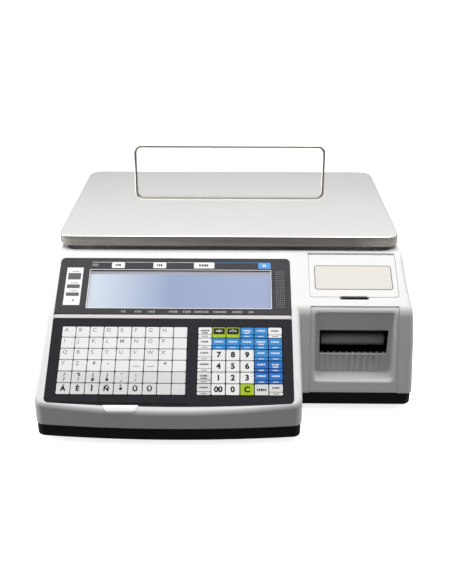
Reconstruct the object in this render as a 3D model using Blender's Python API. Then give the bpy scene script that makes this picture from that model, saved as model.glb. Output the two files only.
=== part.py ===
"""Label printing scale for a shop counter, as an assembly of separate sub-parts.

Metres, +Z up, +X to the operator's right, +Y to the rear. The origin is on the bench, under the
middle of the whole machine. Panels that lie on the sloping front are modelled in a slope frame:
x along the panel, y up the slope, z out of it.
"""

import math

import bmesh
import bpy
from mathutils import Matrix, Vector

MM = 0.001
GAP = 0.3 * MM  # running and seating clearance between neighbouring pieces

# --- driving dimensions -------------------------------------------------------------------------
FOOT_LIFT = 6 * MM  # underside of the base above the bench
BASE_TOP = 20.7 * MM
CASE_BOTTOM = 21 * MM
CASE_TOP = 148 * MM
WALL = 3 * MM
REAR_Y = 217.3 * MM
FRONT_Y = -217.3 * MM  # middle of the bowed front
CORNER_Y = -209.3 * MM  # where the bowed front would meet the side walls
LEFT_X = -193.7 * MM
RIGHT_X = 192.8 * MM
FLARE = 5 * MM  # how much wider the housing is at its front
FLARE_START_Y = -50 * MM
STEP_X = 74.35 * MM  # right wall of the operator's panel, left side of the printer bay

EDGE_Y = -54.25 * MM  # front edge of the flat deck
DISPLAY_SLOPE = math.radians(31)
DISPLAY_RUN = 83 * MM
KEYPAD_SLOPE = math.radians(35.7)
SHOULDER_RADIUS = 18 * MM
FASCIA_LEAN = math.radians(15.25)

DECK_Z = 139 * MM  # floor of the tray under the platter
PLATTER_TOP = 164 * MM
PLATTER_CENTRE = Vector((-2.25 * MM, 78.75 * MM))  # over the load cell's post
PLATTER_LOW = Vector((-194 * MM, -46.25 * MM))
PLATTER_HIGH = Vector((189.5 * MM, 207.75 * MM))
PLATTER_SKIRT = 11.5 * MM
SHEET = 1 * MM

PANEL_X = (-188 * MM, 66 * MM)
KEY_PITCH = (14.72 * MM, 13.05 * MM)
KEY_SIZE = (13.7 * MM, 12.1 * MM)
KEY_TOP_Y = -15 * MM
KEY_ROWS = 6
LETTER_COLUMNS = 9
LETTER_X = -176.8 * MM
COMMAND_COLUMNS = 6
COMMAND_X = -33.2 * MM

CASSETTE_X = (86.5 * MM, 181.1 * MM)  # opening that the printer cassette slides out of
RECESS_Y = -119.25 * MM
PLATEN_YZ = (-104 * MM, 68 * MM)
ROLL_YZ = (-38 * MM, 68 * MM)
REWIND_YZ = (20 * MM, 50 * MM)
GEAR_MODULE = 1 * MM
PLATEN_TEETH = 20
IDLER_TEETH = 16
PINION_TEETH = 10
GEAR_X = (174.5 * MM, 178.5 * MM)

EDGE = Vector((0, EDGE_Y, CASE_TOP))
FOLD = EDGE + DISPLAY_RUN * Vector((0, -math.cos(DISPLAY_SLOPE), -math.sin(DISPLAY_SLOPE)))

FINISHES = {  # colour, roughness, metallic
    "white_plastic": ((0.83, 0.83, 0.82), 0.42, 0),
    "black_plastic": ((0.012, 0.012, 0.013), 0.5, 0),
    "panel_grey": ((0.09, 0.09, 0.10), 0.35, 0),
    "keypad_dark": ((0.028, 0.025, 0.035), 0.4, 0),
    "trim_cream": ((0.70, 0.67, 0.60), 0.35, 0),
    "key_white": ((0.86, 0.86, 0.85), 0.5, 0),
    "key_lime": ((0.45, 0.62, 0.04), 0.5, 0),
    "stainless": ((0.62, 0.61, 0.60), 0.16, 1),
    "steel": ((0.50, 0.50, 0.51), 0.35, 1),
    "aluminium": ((0.72, 0.73, 0.74), 0.38, 1),
    "rubber": ((0.03, 0.03, 0.03), 0.8, 0),
    "window": ((0.55, 0.62, 0.72), 0.08, 0),
    "lcd": ((0.50, 0.58, 0.68), 0.3, 0),
    "board": ((0.02, 0.19, 0.07), 0.5, 0),
    "paper": ((0.88, 0.87, 0.83), 0.8, 0),
    "grey_plastic": ((0.30, 0.30, 0.31), 0.5, 0),
    "blue_plastic": ((0.03, 0.14, 0.48), 0.45, 0),
    "smoke_window": ((0.05, 0.05, 0.06), 0.1, 0),
    "level_green": ((0.45, 0.75, 0.10), 0.12, 0),
}


# --- modelling helpers --------------------------------------------------------------------------
def mesh_object(name, bm):
    bmesh.ops.recalc_face_normals(bm, faces=bm.faces)
    mesh = bpy.data.meshes.new(name)
    bm.to_mesh(mesh)
    bm.free()
    obj = bpy.data.objects.new(name, mesh)
    bpy.context.collection.objects.link(obj)
    return obj


def prism(points, axis, low, high):
    """A closed outline extruded along X, Y or Z; its points are the other two coordinates in order."""
    place = {
        "X": lambda p, h: (h, p[0], p[1]),
        "Y": lambda p, h: (p[0], h, p[1]),
        "Z": lambda p, h: (p[0], p[1], h),
    }[axis]
    bm = bmesh.new()
    ends = [[bm.verts.new(place(p, h)) for p in points] for h in (low, high)]
    bm.faces.new(ends[0])
    bm.faces.new(ends[1])
    count = len(points)
    for i in range(count):
        j = (i + 1) % count
        bm.faces.new((ends[0][i], ends[0][j], ends[1][j], ends[1][i]))
    return mesh_object("prism", bm)


def box(low, high):
    outline = [(low[0], low[1]), (high[0], low[1]), (high[0], high[1]), (low[0], high[1])]
    return prism(outline, "Z", low[2], high[2])


def cylinder(centre, radius, low, high, axis="X", sides=32):
    """A cylinder along one axis; centre holds the other two coordinates in order."""
    ring = [
        (
            centre[0] + radius * math.cos(math.tau * i / sides),
            centre[1] + radius * math.sin(math.tau * i / sides),
        )
        for i in range(sides)
    ]
    return prism(ring, axis, low, high)


def rounded_outline(corners, steps=5):
    """An outline through (x, y, radius) corners, each rounded by an arc of that radius."""
    points = []
    count = len(corners)
    for i, (x, y, radius) in enumerate(corners):
        here = Vector((x, y))
        if radius == 0:
            points.append(here)
            continue
        before = (Vector(corners[i - 1][:2]) - here).normalized()
        after = (Vector(corners[(i + 1) % count][:2]) - here).normalized()
        half = before.angle(after) / 2
        centre = here + (before + after).normalized() * (radius / math.sin(half))
        start = here + before * (radius / math.tan(half)) - centre
        end = here + after * (radius / math.tan(half)) - centre
        turn = math.pi - 2 * half
        sign = 1 if start.x * end.y - start.y * end.x > 0 else -1
        for k in range(steps + 1):
            angle = sign * turn * k / steps
            cosine, sine = math.cos(angle), math.sin(angle)
            points.append(
                centre
                + Vector((start.x * cosine - start.y * sine, start.x * sine + start.y * cosine))
            )
    return points


def rounded_rectangle(low, high, radius, steps=5):
    corners = [(low[0], low[1]), (high[0], low[1]), (high[0], high[1]), (low[0], high[1])]
    return rounded_outline([(x, y, radius) for x, y in corners], steps)


def inset(points, distance):
    """The outline moved inwards by a distance, with mitred corners."""
    points = [Vector(p) for p in points]
    count = len(points)
    area = sum(
        points[i - 1].x * points[i].y - points[i].x * points[i - 1].y for i in range(count)
    )
    side = 1 if area > 0 else -1
    moved = []
    for i in range(count):
        first = (points[i] - points[i - 1]).normalized()
        second = (points[(i + 1) % count] - points[i]).normalized()
        normal_a = Vector((-first.y, first.x)) * side
        normal_b = Vector((-second.y, second.x)) * side
        bisector = (normal_a + normal_b).normalized()
        moved.append(points[i] + bisector * (distance / bisector.dot(normal_a)))
    return moved


def boolean(target, cutter, operation):
    """Cuts, joins or intersects target with cutter, and removes the cutter."""
    modifier = target.modifiers.new("boolean", "BOOLEAN")
    modifier.object = cutter
    modifier.operation = operation
    modifier.solver = "EXACT"
    bpy.context.view_layer.update()
    result = bpy.data.meshes.new_from_object(
        target.evaluated_get(bpy.context.evaluated_depsgraph_get())
    )
    target.modifiers.clear()
    target.data = result
    bpy.data.objects.remove(cutter)
    return target


def cut(target, *cutters):
    for cutter in cutters:
        boolean(target, cutter, "DIFFERENCE")
    return target


def join(target, *others):
    for other in others:
        boolean(target, other, "UNION")
    return target


def overlap(target, other):
    return boolean(target, other, "INTERSECT")


def round_edges(obj, width, segments, chosen):
    """Rounds the edges for which chosen(edge) is true."""
    bm = bmesh.new()
    bm.from_mesh(obj.data)
    edges = [e for e in bm.edges if len(e.link_faces) == 2 and chosen(e)]
    bmesh.ops.bevel(
        bm, geom=edges, offset=width, segments=segments, profile=0.5, affect="EDGES",
        clamp_overlap=False,
    )
    bm.to_mesh(obj.data)
    bm.free()
    return obj


def sharp_above(z, degrees=50):
    """Chooses the convex edges sharper than an angle that don't lie at or below a height."""
    limit = math.radians(degrees)

    def chosen(edge):
        high = max(v.co.z for v in edge.verts) > z + 0.5 * MM
        return high and edge.calc_face_angle_signed(0) > limit

    return chosen


def slope_frame(angle):
    """World matrix of a slope frame whose origin is the fold between display and keypad."""
    return Matrix.Translation(FOLD) @ Matrix.Rotation(angle, 4, "X")


DISPLAY_FRAME = slope_frame(DISPLAY_SLOPE)
KEYPAD_FRAME = slope_frame(KEYPAD_SLOPE)


def moved(obj, matrix):
    """Moves a cutter's or a joined piece's mesh into world space."""
    obj.data.transform(matrix)
    return obj


def finish_material(name, finish):
    colour, roughness, metallic = FINISHES[finish]
    material = bpy.data.materials.new(name)
    material.use_nodes = True
    shader = material.node_tree.nodes["Principled BSDF"]
    shader.inputs["Base Color"].default_value = (*colour, 1)
    shader.inputs["Roughness"].default_value = roughness
    shader.inputs["Metallic"].default_value = metallic
    material.diffuse_color = (*colour, 1)
    return material


def part(obj, name, finish, origin=(0, 0, 0), frame=None, smooth=False):
    """Names a piece, gives it its material and sets its origin without moving it."""
    obj.name = name
    obj.data.name = name
    obj.data.materials.clear()
    obj.data.materials.append(finish_material(name, finish))
    obj.data.transform(Matrix.Translation(-Vector(origin)))
    obj.matrix_world = (frame or Matrix()) @ Matrix.Translation(origin)
    if smooth:
        obj.data.shade_smooth()
        obj.data.set_sharp_from_angle(angle=math.radians(35))
    return obj


def stepped_plate(xs, ys, top, bottom):
    """A closed plate over a lattice of lines; top(i, j) is a cell's height, or None for a hole."""
    bm = bmesh.new()
    verts = {}

    def vert(i, j, z):
        key = (i, j, round(z, 7))
        if key not in verts:
            verts[key] = bm.verts.new((xs[i], ys[j], z))
        return verts[key]

    columns, rows = len(xs) - 1, len(ys) - 1

    def height(i, j):
        inside = 0 <= i < columns and 0 <= j < rows
        return top(i, j) if inside else None

    for i in range(columns):
        for j in range(rows):
            z = height(i, j)
            if z is None:
                continue
            cell = ((i, j), (i + 1, j), (i + 1, j + 1), (i, j + 1))
            bm.faces.new([vert(a, b, z) for a, b in cell])
            bm.faces.new([vert(a, b, bottom) for a, b in reversed(cell)])
            sides = (((0, -1), 0, 1), ((1, 0), 1, 2), ((0, 1), 2, 3), ((-1, 0), 3, 0))
            for (di, dj), first, second in sides:
                beyond = height(i + di, j + dj)
                floor = bottom if beyond is None else beyond
                if floor < z:
                    a, b = cell[first], cell[second]
                    bm.faces.new((vert(*a, floor), vert(*b, floor), vert(*b, z), vert(*a, z)))
    return mesh_object("plate", bm)


# --- housing ------------------------------------------------------------------------------------
def flare_x(y, x, start, end):
    """X of a side wall that leans outwards towards the front."""
    part_way = min(max((start - y) / (start - end), 0), 1)
    return x + math.copysign(FLARE, x) * part_way**2


def console_outline():
    """Plan of the operator's side of the housing, from rear left round to rear right."""
    left = [(LEFT_X, REAR_Y, 12 * MM), (LEFT_X, FLARE_START_Y, 0)]
    for k in range(1, 6):
        y = FLARE_START_Y + (CORNER_Y - FLARE_START_Y) * k / 6
        left.append((flare_x(y, LEFT_X, FLARE_START_Y, CORNER_Y), y, 0))
    left_corner = flare_x(CORNER_Y, LEFT_X, FLARE_START_Y, CORNER_Y)
    middle = (left_corner + STEP_X) / 2
    half = (STEP_X - left_corner) / 2
    bow = []
    for k in range(1, 8):
        x = left_corner + 2 * half * k / 8
        bow.append((x, FRONT_Y + (CORNER_Y - FRONT_Y) * ((x - middle) / half) ** 2, 0))
    front = [(left_corner, CORNER_Y, 10 * MM), *bow, (STEP_X, CORNER_Y, 9 * MM)]
    return rounded_outline([*left, *front, (STEP_X, REAR_Y, 0)])


def printer_outline(front_y, front_radius):
    """Plan of the printer's side of the housing, overlapping the operator's side."""
    flare_end = -125 * MM
    inner = 40 * MM
    right = []
    for k in range(5, 0, -1):
        y = FLARE_START_Y + (flare_end - FLARE_START_Y) * k / 5
        right.append((flare_x(y, RIGHT_X, FLARE_START_Y, flare_end), y, 0))
    wide = RIGHT_X + FLARE
    corners = [(inner, REAR_Y, 0), (inner, front_y, 0), (wide, front_y, front_radius)]
    return rounded_outline(
        [*corners, *right, (RIGHT_X, FLARE_START_Y, 0), (RIGHT_X, REAR_Y, 12 * MM)]
    )


def console_profile(bottom):
    """Side view of the operator's side, deck to lower end of the keypad slope."""
    drop = 0.05 * MM  # keeps its faces off the printer side's, which lie in the same planes
    reach = 130 * MM
    far = 30 * MM
    fold = (FOLD.y, FOLD.z - drop)
    low = (
        FOLD.y - reach * math.cos(KEYPAD_SLOPE),
        FOLD.z - drop - reach * math.sin(KEYPAD_SLOPE),
    )
    deck = CASE_TOP - drop
    return [(REAR_Y + far, bottom), (REAR_Y + far, deck), (EDGE_Y, deck), fold, low, (low[0], bottom)]


def shoulder():
    """The rounded front of the printer side: points from the lid's slope round to the bench."""
    slope = Vector((-math.cos(DISPLAY_SLOPE), -math.sin(DISPLAY_SLOPE)))
    face = Vector((-math.sin(FASCIA_LEAN), -math.cos(FASCIA_LEAN)))
    corner = Vector((EDGE_Y, CASE_TOP)) + 76.9 * MM * slope
    turn = slope.angle(face)
    tangent = SHOULDER_RADIUS * math.tan(turn / 2)
    start = corner - slope * tangent
    centre = start + SHOULDER_RADIUS * Vector((-slope.y, slope.x))
    steps = 7
    points = []
    for k in range(steps + 1):
        angle = math.pi / 2 + DISPLAY_SLOPE + turn * k / steps
        points.append(centre + SHOULDER_RADIUS * Vector((math.cos(angle), math.sin(angle))))
    return points, face


def printer_profile(bottom):
    """Side view of the printer's side: deck, lid slope, rounded shoulder and leaning fascia."""
    points, face = shoulder()
    foot = points[-1] + face * ((points[-1].y - bottom) / -face.y)
    far = 30 * MM
    back = [(REAR_Y + far, bottom), (REAR_Y + far, CASE_TOP), (EDGE_Y, CASE_TOP)]
    return [*back, *points, foot]


def block(profile, outline, rounding, bottom):
    solid = prism(profile, "X", -250 * MM, 250 * MM)
    overlap(solid, prism(outline, "Z", -20 * MM, 300 * MM))
    if rounding:
        round_edges(solid, rounding, 3, sharp_above(bottom))
    return solid


def housing(thickness_off, bottom, console_rounding, printer_rounding):
    """The housing's outer shape, moved inwards by thickness_off."""
    console = block(
        inset(console_profile(bottom), thickness_off),
        inset(console_outline(), thickness_off),
        console_rounding,
        bottom,
    )
    printer = block(
        inset(printer_profile(bottom), thickness_off),
        inset(printer_outline(-150 * MM, 0), thickness_off),
        printer_rounding,
        bottom,
    )
    return join(console, printer)


def fascia_opening(top_run, back_y, x_range):
    """The space of the cassette's front, bounded above by a plane square to the lid's slope."""
    along = Vector((-math.cos(DISPLAY_SLOPE), -math.sin(DISPLAY_SLOPE)))
    out = Vector((along.y, -along.x))
    on_slope = Vector((EDGE_Y, CASE_TOP)) + along * top_run
    above = on_slope + out * 12 * MM
    reach = (back_y - on_slope.x) / out.x
    below = on_slope + out * reach
    front = -170 * MM
    outline = [above, below, (back_y, 15 * MM), (front, 15 * MM), (front, above.y)]
    return prism(outline, "X", *x_range)


def top_case():
    case = housing(0, CASE_BOTTOM, 3.5 * MM, 6 * MM)
    cut(case, housing(WALL, 5 * MM, 0, 0))

    tray = rounded_rectangle((-185 * MM, -47 * MM), (181 * MM, 204 * MM), 12 * MM)
    floor = inset(tray, -2.5 * MM)
    well = prism(floor, "Z", DECK_Z - 2.5 * MM, CASE_TOP - 1 * MM)
    join(case, well)
    cut(case, prism(tray, "Z", DECK_Z, 200 * MM))
    post_hole = cylinder(PLATTER_CENTRE, 24 * MM, 120 * MM, 160 * MM, "Z")
    level_hole = cylinder(LEVEL_XY, 8.3 * MM, 120 * MM, 160 * MM, "Z", 24)
    cut(case, post_hole, level_hole)

    pocket = 1.8 * MM
    upper = rounded_outline(
        [
            (PANEL_X[0], -2 * MM, 0),
            (PANEL_X[1], -2 * MM, 0),
            (PANEL_X[1], 74.5 * MM, 5 * MM),
            (PANEL_X[0], 74.5 * MM, 5 * MM),
        ]
    )
    cut(case, moved(prism(upper, "Z", -pocket, 12 * MM), DISPLAY_FRAME))
    cut(case, moved(prism(keypad_field(0), "Z", -pocket, 12 * MM), KEYPAD_FRAME))
    window = box((-158 * MM, 4.6 * MM, -8 * MM), (48 * MM, 62.3 * MM, 2 * MM))
    keys = box((-180 * MM, -98 * MM, -8 * MM), (60 * MM, -10 * MM, 2 * MM))
    cut(case, moved(window, DISPLAY_FRAME), moved(keys, KEYPAD_FRAME))

    for low, high in ((80.5, 86.2), (182.7, 188.4)):
        ear = box((low * MM, 74.5 * MM, -9 * MM), (high * MM, 83.5 * MM, -1.5 * MM))
        join(case, moved(ear, DISPLAY_FRAME))
    lid_low, lid_high = LID_X[0] - GAP, LID_X[1] + GAP
    lid_bay = box((lid_low, 23 * MM, -12 * MM), (lid_high, 81.8 * MM, 10 * MM))
    notch = rounded_rectangle((118 * MM, 20.2 * MM), (150 * MM, 30 * MM), 2.5 * MM, 3)
    pin_bore = cylinder(LID_AXIS, 1.5 * MM, 82.2 * MM, 186.7 * MM, "X", 16)
    swing = [(78 * MM, -2.5 * MM), (81.8 * MM, -2.5 * MM), (84.6 * MM, 1.5 * MM), (78 * MM, 1.5 * MM)]
    swing_room = prism(swing, "X", lid_low, lid_high)
    cut(case, moved(lid_bay, DISPLAY_FRAME), moved(swing_room, DISPLAY_FRAME))
    cut(case, moved(prism(notch, "Z", -8 * MM, 4 * MM), DISPLAY_FRAME))
    cut(case, moved(pin_bore, DISPLAY_FRAME))
    cut(case, fascia_opening(71.2 * MM, -104 * MM, CASSETTE_X))

    for (left, bottom), (right, top) in (REAR_WINDOW, PORTS, INLET):
        low = (left - GAP, REAR_Y - 8 * MM, bottom - GAP)
        high = (right + GAP, REAR_Y + 5 * MM, top + GAP)
        cut(case, box(low, high))
    return part(case, "top_case", "white_plastic", smooth=True)


def keypad_field(gap):
    """Outline of the sunken keypad field in the keypad's slope frame; its lower edge is bowed."""
    low_side, low_middle = -101.8 * MM, -106.2 * MM
    middle = (PANEL_X[0] + PANEL_X[1]) / 2
    half = (PANEL_X[1] - PANEL_X[0]) / 2
    edge = []
    for k in range(1, 6):
        x = PANEL_X[0] + 2 * half * k / 6
        edge.append((x, low_middle + (low_side - low_middle) * ((x - middle) / half) ** 2, 0))
    corners = [
        (PANEL_X[0], 3 * MM, 0),
        (PANEL_X[0], low_side, 5 * MM),
        *edge,
        (PANEL_X[1], low_side, 5 * MM),
        (PANEL_X[1], 3 * MM, 0),
    ]
    outline = rounded_outline(corners)
    return inset(outline, gap) if gap else outline


def base_tray():
    def plan(gap):
        console = prism(inset(console_outline(), gap), "Z", 0, 1)
        printer = prism(inset(printer_outline(-144.7 * MM, 10 * MM), gap), "Z", 0, 1)
        return console, printer

    def slab(gap, low, high):
        stretch = Matrix.Translation((0, 0, low)) @ Matrix.Diagonal((1, 1, high - low, 1))
        console, printer = (moved(shape, stretch) for shape in plan(gap))
        return join(console, printer)

    tray = slab(1 * MM, FOOT_LIFT, BASE_TOP)

    def lower_rim(edge):
        return all(v.co.z < FOOT_LIFT + 0.1 * MM for v in edge.verts) and edge.calc_face_angle(0) > 1

    round_edges(tray, 2.5 * MM, 2, lower_rim)
    cut(tray, slab(4 * MM, 8.5 * MM, 40 * MM))
    for low in (95, 168):
        rail = box((low * MM, -105 * MM, 7 * MM), ((low + 4) * MM, 38 * MM, 23.6 * MM))
        join(tray, rail)
    for x, y in FEET_XY:
        boss = cylinder((x, y), 8 * MM, 7 * MM, 17 * MM, "Z", 20)
        join(tray, boss)
        cut(tray, cylinder((x, y), 3.3 * MM, 0, 15 * MM, "Z", 20))
    return part(tray, "base_tray", "black_plastic")


FEET_XY = [(-168 * MM, -178 * MM), (150 * MM, -120 * MM), (168 * MM, 185 * MM), (-168 * MM, 185 * MM)]
LEVEL_XY = (-120 * MM, 20 * MM)


def levelling_feet():
    names = ("foot_front_left", "foot_front_right", "foot_rear_right", "foot_rear_left")
    for name, (x, y) in zip(names, FEET_XY):
        foot = cylinder((x, y), 13 * MM, 0, FOOT_LIFT - GAP, "Z", 28)
        join(foot, cylinder((x, y), 3 * MM, 3 * MM, 14.5 * MM, "Z", 20))
        part(foot, name, "rubber", origin=(x, y, 0), smooth=True)


# --- weighing train -----------------------------------------------------------------------------
CELL_X = (-77 * MM, 73 * MM)
CELL_Y = (58.75 * MM, 98.75 * MM)
CELL_Z = (70 * MM, 95 * MM)


def weighing_train():
    mount = box((CELL_X[0], 54 * MM, 8.8 * MM), (CELL_X[0] + 40 * MM, 104 * MM, CELL_Z[0] - GAP))
    relief = box((CELL_X[0] + 12 * MM, 62 * MM, 20 * MM), (CELL_X[0] + 60 * MM, 96 * MM, 56 * MM))
    part(cut(mount, relief), "load_cell_mount", "aluminium")

    cell = box((CELL_X[0], CELL_Y[0], CELL_Z[0]), (CELL_X[1], CELL_Y[1], CELL_Z[1]))
    mid_z = sum(CELL_Z) / 2
    for x in (-17 * MM, 13 * MM):
        bore = cylinder((x, mid_z), 8.5 * MM, 40 * MM, 120 * MM, "Y", 24)
        cut(cell, bore)
    cut(cell, box((-17 * MM, 40 * MM, mid_z - 3 * MM), (13 * MM, 120 * MM, mid_z + 3 * MM)))
    part(cell, "load_cell", "aluminium")

    sink = 0.6 * MM  # room for the cell's free end to bend under a full load
    bracket = box((-32 * MM, 60 * MM, 99 * MM), (CELL_X[1], 97.5 * MM, 104 * MM))
    pad = box((46 * MM, 60 * MM, CELL_Z[1] + sink), (CELL_X[1], 97.5 * MM, 101 * MM))
    post = cylinder(PLATTER_CENTRE, 17 * MM, 102 * MM, 141.2 * MM, "Z", 28)
    part(join(bracket, pad, post), "load_cell_post", "aluminium")


def platter_support():
    half = (164.5 * MM, 110 * MM)
    centre = PLATTER_CENTRE
    low, high = centre - Vector(half), centre + Vector(half)
    frame = prism(rounded_rectangle(low, high, 10 * MM, 3), "Z", 141.5 * MM, 150.5 * MM)
    bar = 16 * MM
    window = (half[0] - 1.5 * bar, half[1] - 1.5 * bar)
    for sx in (-1, 1):
        for sy in (-1, 1):
            a = centre + Vector((sx * bar / 2, sy * bar / 2))
            b = a + Vector((sx * window[0], sy * window[1]))
            corners = (min(a.x, b.x), min(a.y, b.y)), (max(a.x, b.x), max(a.y, b.y))
            cut(frame, prism(rounded_rectangle(*corners, 6 * MM, 2), "Z", 130 * MM, 170 * MM))
    join(frame, cylinder(centre, 26 * MM, 141.5 * MM, 150.5 * MM, "Z", 28))
    cushion_xy = []
    for sx in (-1, 1):
        for sy in (-1, 1):
            spot = centre + Vector((sx * (half[0] - 12 * MM), sy * (half[1] - 12 * MM)))
            cushion_xy.append(spot)
            join(frame, cylinder(spot, 8.5 * MM, 146 * MM, 156 * MM, "Z", 20))
    part(frame, "platter_support", "aluminium")
    names = ("cushion_front_left", "cushion_rear_left", "cushion_front_right", "cushion_rear_right")
    underside = PLATTER_TOP - SHEET
    for name, spot in zip(names, cushion_xy):
        pad = cylinder(spot, 7 * MM, 156.3 * MM, underside - GAP, "Z", 20)
        part(pad, name, "rubber", origin=(*spot, 156.3 * MM), smooth=True)


GUARD_X = (-131.5 * MM, 124.7 * MM)
GUARD_Y = 200 * MM
GUARD_TOP = 200.4 * MM
GUARD_WIRE = 2.1 * MM
GUARD_BEND = 9 * MM


def platter():
    outline = rounded_rectangle(PLATTER_LOW, PLATTER_HIGH, 17 * MM, 6)
    pan = prism(outline, "Z", PLATTER_TOP - PLATTER_SKIRT, PLATTER_TOP)

    def top_rim(edge):
        return all(v.co.z > PLATTER_TOP - 0.1 * MM for v in edge.verts)

    round_edges(pan, 1.4 * MM, 2, top_rim)
    cut(pan, prism(inset(outline, SHEET), "Z", 140 * MM, PLATTER_TOP - SHEET))
    for x in GUARD_X:
        join(pan, cylinder((x, GUARD_Y), 4.4 * MM, 154 * MM, PLATTER_TOP - SHEET / 2, "Z", 16))
        cut(pan, cylinder((x, GUARD_Y), GUARD_WIRE + GAP, 155 * MM, 170 * MM, "Z", 16))
    part(pan, "platter", "stainless", origin=(*PLATTER_CENTRE, PLATTER_TOP), smooth=True)


def wire_guard():
    curve = bpy.data.curves.new("wire_guard", "CURVE")
    curve.dimensions = "3D"
    curve.bevel_depth = GUARD_WIRE
    curve.bevel_resolution = 2
    curve.use_fill_caps = True
    left, right = GUARD_X
    foot = 155.3 * MM
    points = [(left, foot), (left, GUARD_TOP - GUARD_BEND)]
    for centre_x, first in ((left + GUARD_BEND, 180), (right - GUARD_BEND, 90)):
        for k in range(7):
            angle = math.radians(first - 90 * k / 6)
            x = centre_x + GUARD_BEND * math.cos(angle)
            points.append((x, GUARD_TOP - GUARD_BEND + GUARD_BEND * math.sin(angle)))
    points.append((right, foot))
    points.pop(1)
    spline = curve.splines.new("POLY")
    spline.points.add(len(points) - 1)
    centre_x = (left + right) / 2
    for point, (x, z) in zip(spline.points, points):
        point.co = (x - centre_x, 0, z - foot, 1)
    curve.materials.append(finish_material("wire_guard", "stainless"))
    guard = bpy.data.objects.new("wire_guard", curve)
    guard.location = (centre_x, GUARD_Y, foot)
    bpy.context.collection.objects.link(guard)


# --- operator's panel ---------------------------------------------------------------------------
DISPLAY_HOLE = ((-154.2 * MM, 8.4 * MM), (44.3 * MM, 58.6 * MM))


def display():
    low, high = PANEL_X[0] + GAP, PANEL_X[1] - GAP
    outline = rounded_outline(
        [(low, 0.6 * MM, 0), (high, 0.6 * MM, 0), (high, 74.2 * MM, 5 * MM), (low, 74.2 * MM, 5 * MM)]
    )
    panel = prism(outline, "Z", -1.5 * MM, -0.5 * MM)
    cut(panel, prism(rounded_rectangle(*DISPLAY_HOLE, 1 * MM, 2), "Z", -5 * MM, 5 * MM))
    part(panel, "display_panel", "panel_grey", frame=DISPLAY_FRAME)
    glass = box((-157 * MM, 5.6 * MM, -3.3 * MM), (47 * MM, 61.3 * MM, -1.9 * MM))
    part(glass, "display_window", "window", frame=DISPLAY_FRAME)
    module = box((-162 * MM, 2 * MM, -13 * MM), (52 * MM, 66 * MM, -3.7 * MM))
    part(module, "lcd_module", "lcd", frame=DISPLAY_FRAME)


def key_lines(start, count, pitch, size, step):
    """Lattice lines of a run of keys: an edge, then each key's two sides, then an edge."""
    lines = [start - step * (pitch - size)]
    for k in range(count):
        centre = start + step * pitch * (k + 0.5)
        lines += [centre - step * size / 2, centre + step * size / 2]
    lines.append(start + step * (pitch * count + pitch - size))
    return lines


def key_mat(name, first_x, columns, missing, finish):
    """Keys that stand on one carrier; missing lists the (column, row) places left open."""
    xs = key_lines(first_x, columns, KEY_PITCH[0], KEY_SIZE[0], 1)
    ys = key_lines(KEY_TOP_Y, KEY_ROWS, KEY_PITCH[1], KEY_SIZE[1], -1)[::-1]

    def top(i, j):
        on_key = i % 2 == 1 and j % 2 == 1
        if not on_key:
            return -2.6 * MM
        place = ((i - 1) // 2, KEY_ROWS - 1 - (j - 1) // 2)
        return None if place in missing else -0.1 * MM

    part(stepped_plate(xs, ys, top, -3.6 * MM), name, finish, frame=KEYPAD_FRAME)


NUMBER_KEYS = {
    "key_7": (1, 2), "key_8": (2, 2), "key_9": (3, 2),
    "key_4": (1, 3), "key_5": (2, 3), "key_6": (3, 3),
    "key_1": (1, 4), "key_2": (2, 4), "key_3": (3, 4),
    "key_00": (1, 5), "key_0": (2, 5), "key_clear": (3, 5),
    "key_print": (4, 5),
}


def keypad():
    overlay = prism(keypad_field(GAP), "Z", -1.5 * MM, -0.5 * MM)
    cut(overlay, box((-200 * MM, -6 * MM, -5 * MM), (100 * MM, 10 * MM, 5 * MM)))
    top, bottom = KEY_TOP_Y + 0.6 * MM, KEY_TOP_Y - KEY_ROWS * KEY_PITCH[1] - 0.6 * MM
    for start, columns in ((LETTER_X, LETTER_COLUMNS), (COMMAND_X, COMMAND_COLUMNS)):
        end = start + columns * KEY_PITCH[0] + 0.6 * MM
        cut(overlay, box((start - 0.6 * MM, bottom, -5 * MM), (end, top, 5 * MM)))
    part(overlay, "keypad_overlay", "keypad_dark", frame=KEYPAD_FRAME)

    strip = box((PANEL_X[0] + 1 * MM, -5.6 * MM, -1.5 * MM), (PANEL_X[1] - 1 * MM, -0.8 * MM, -0.1 * MM))
    part(strip, "trim_strip", "trim_cream", frame=KEYPAD_FRAME)

    key_mat("letter_keys", LETTER_X, LETTER_COLUMNS, (), "key_white")
    key_mat("command_keys", COMMAND_X, COMMAND_COLUMNS, NUMBER_KEYS.values(), "key_white")
    for name, (column, row) in NUMBER_KEYS.items():
        x = COMMAND_X + (column + 0.5) * KEY_PITCH[0]
        y = KEY_TOP_Y - (row + 0.5) * KEY_PITCH[1]
        half_x, half_y = KEY_SIZE[0] / 2 - GAP, KEY_SIZE[1] / 2 - GAP
        key = box((x - half_x, y - half_y, -2.9 * MM), (x + half_x, y + half_y, -0.1 * MM))
        finish = "key_lime" if name == "key_clear" else "key_white"
        part(key, name, finish, origin=(x, y, -0.1 * MM), frame=KEYPAD_FRAME)

    board = box((-181 * MM, -99 * MM, -5.8 * MM), (61 * MM, -9 * MM, -4.2 * MM))
    part(board, "keypad_board", "board", frame=KEYPAD_FRAME)


# --- electronics --------------------------------------------------------------------------------
REAR_WINDOW = ((-150 * MM, 86 * MM), (60 * MM, 124 * MM))  # openings in the rear wall: X and Z
PORTS = ((70 * MM, 34 * MM), (168 * MM, 60 * MM))
INLET = ((-172 * MM, 34 * MM), (-124 * MM, 58 * MM))
REAR_SEAT = REAR_Y - GAP  # how far the pieces in the rear wall's openings reach
ROCKER_YZ = (REAR_Y - 4 * MM, 46 * MM)


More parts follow.
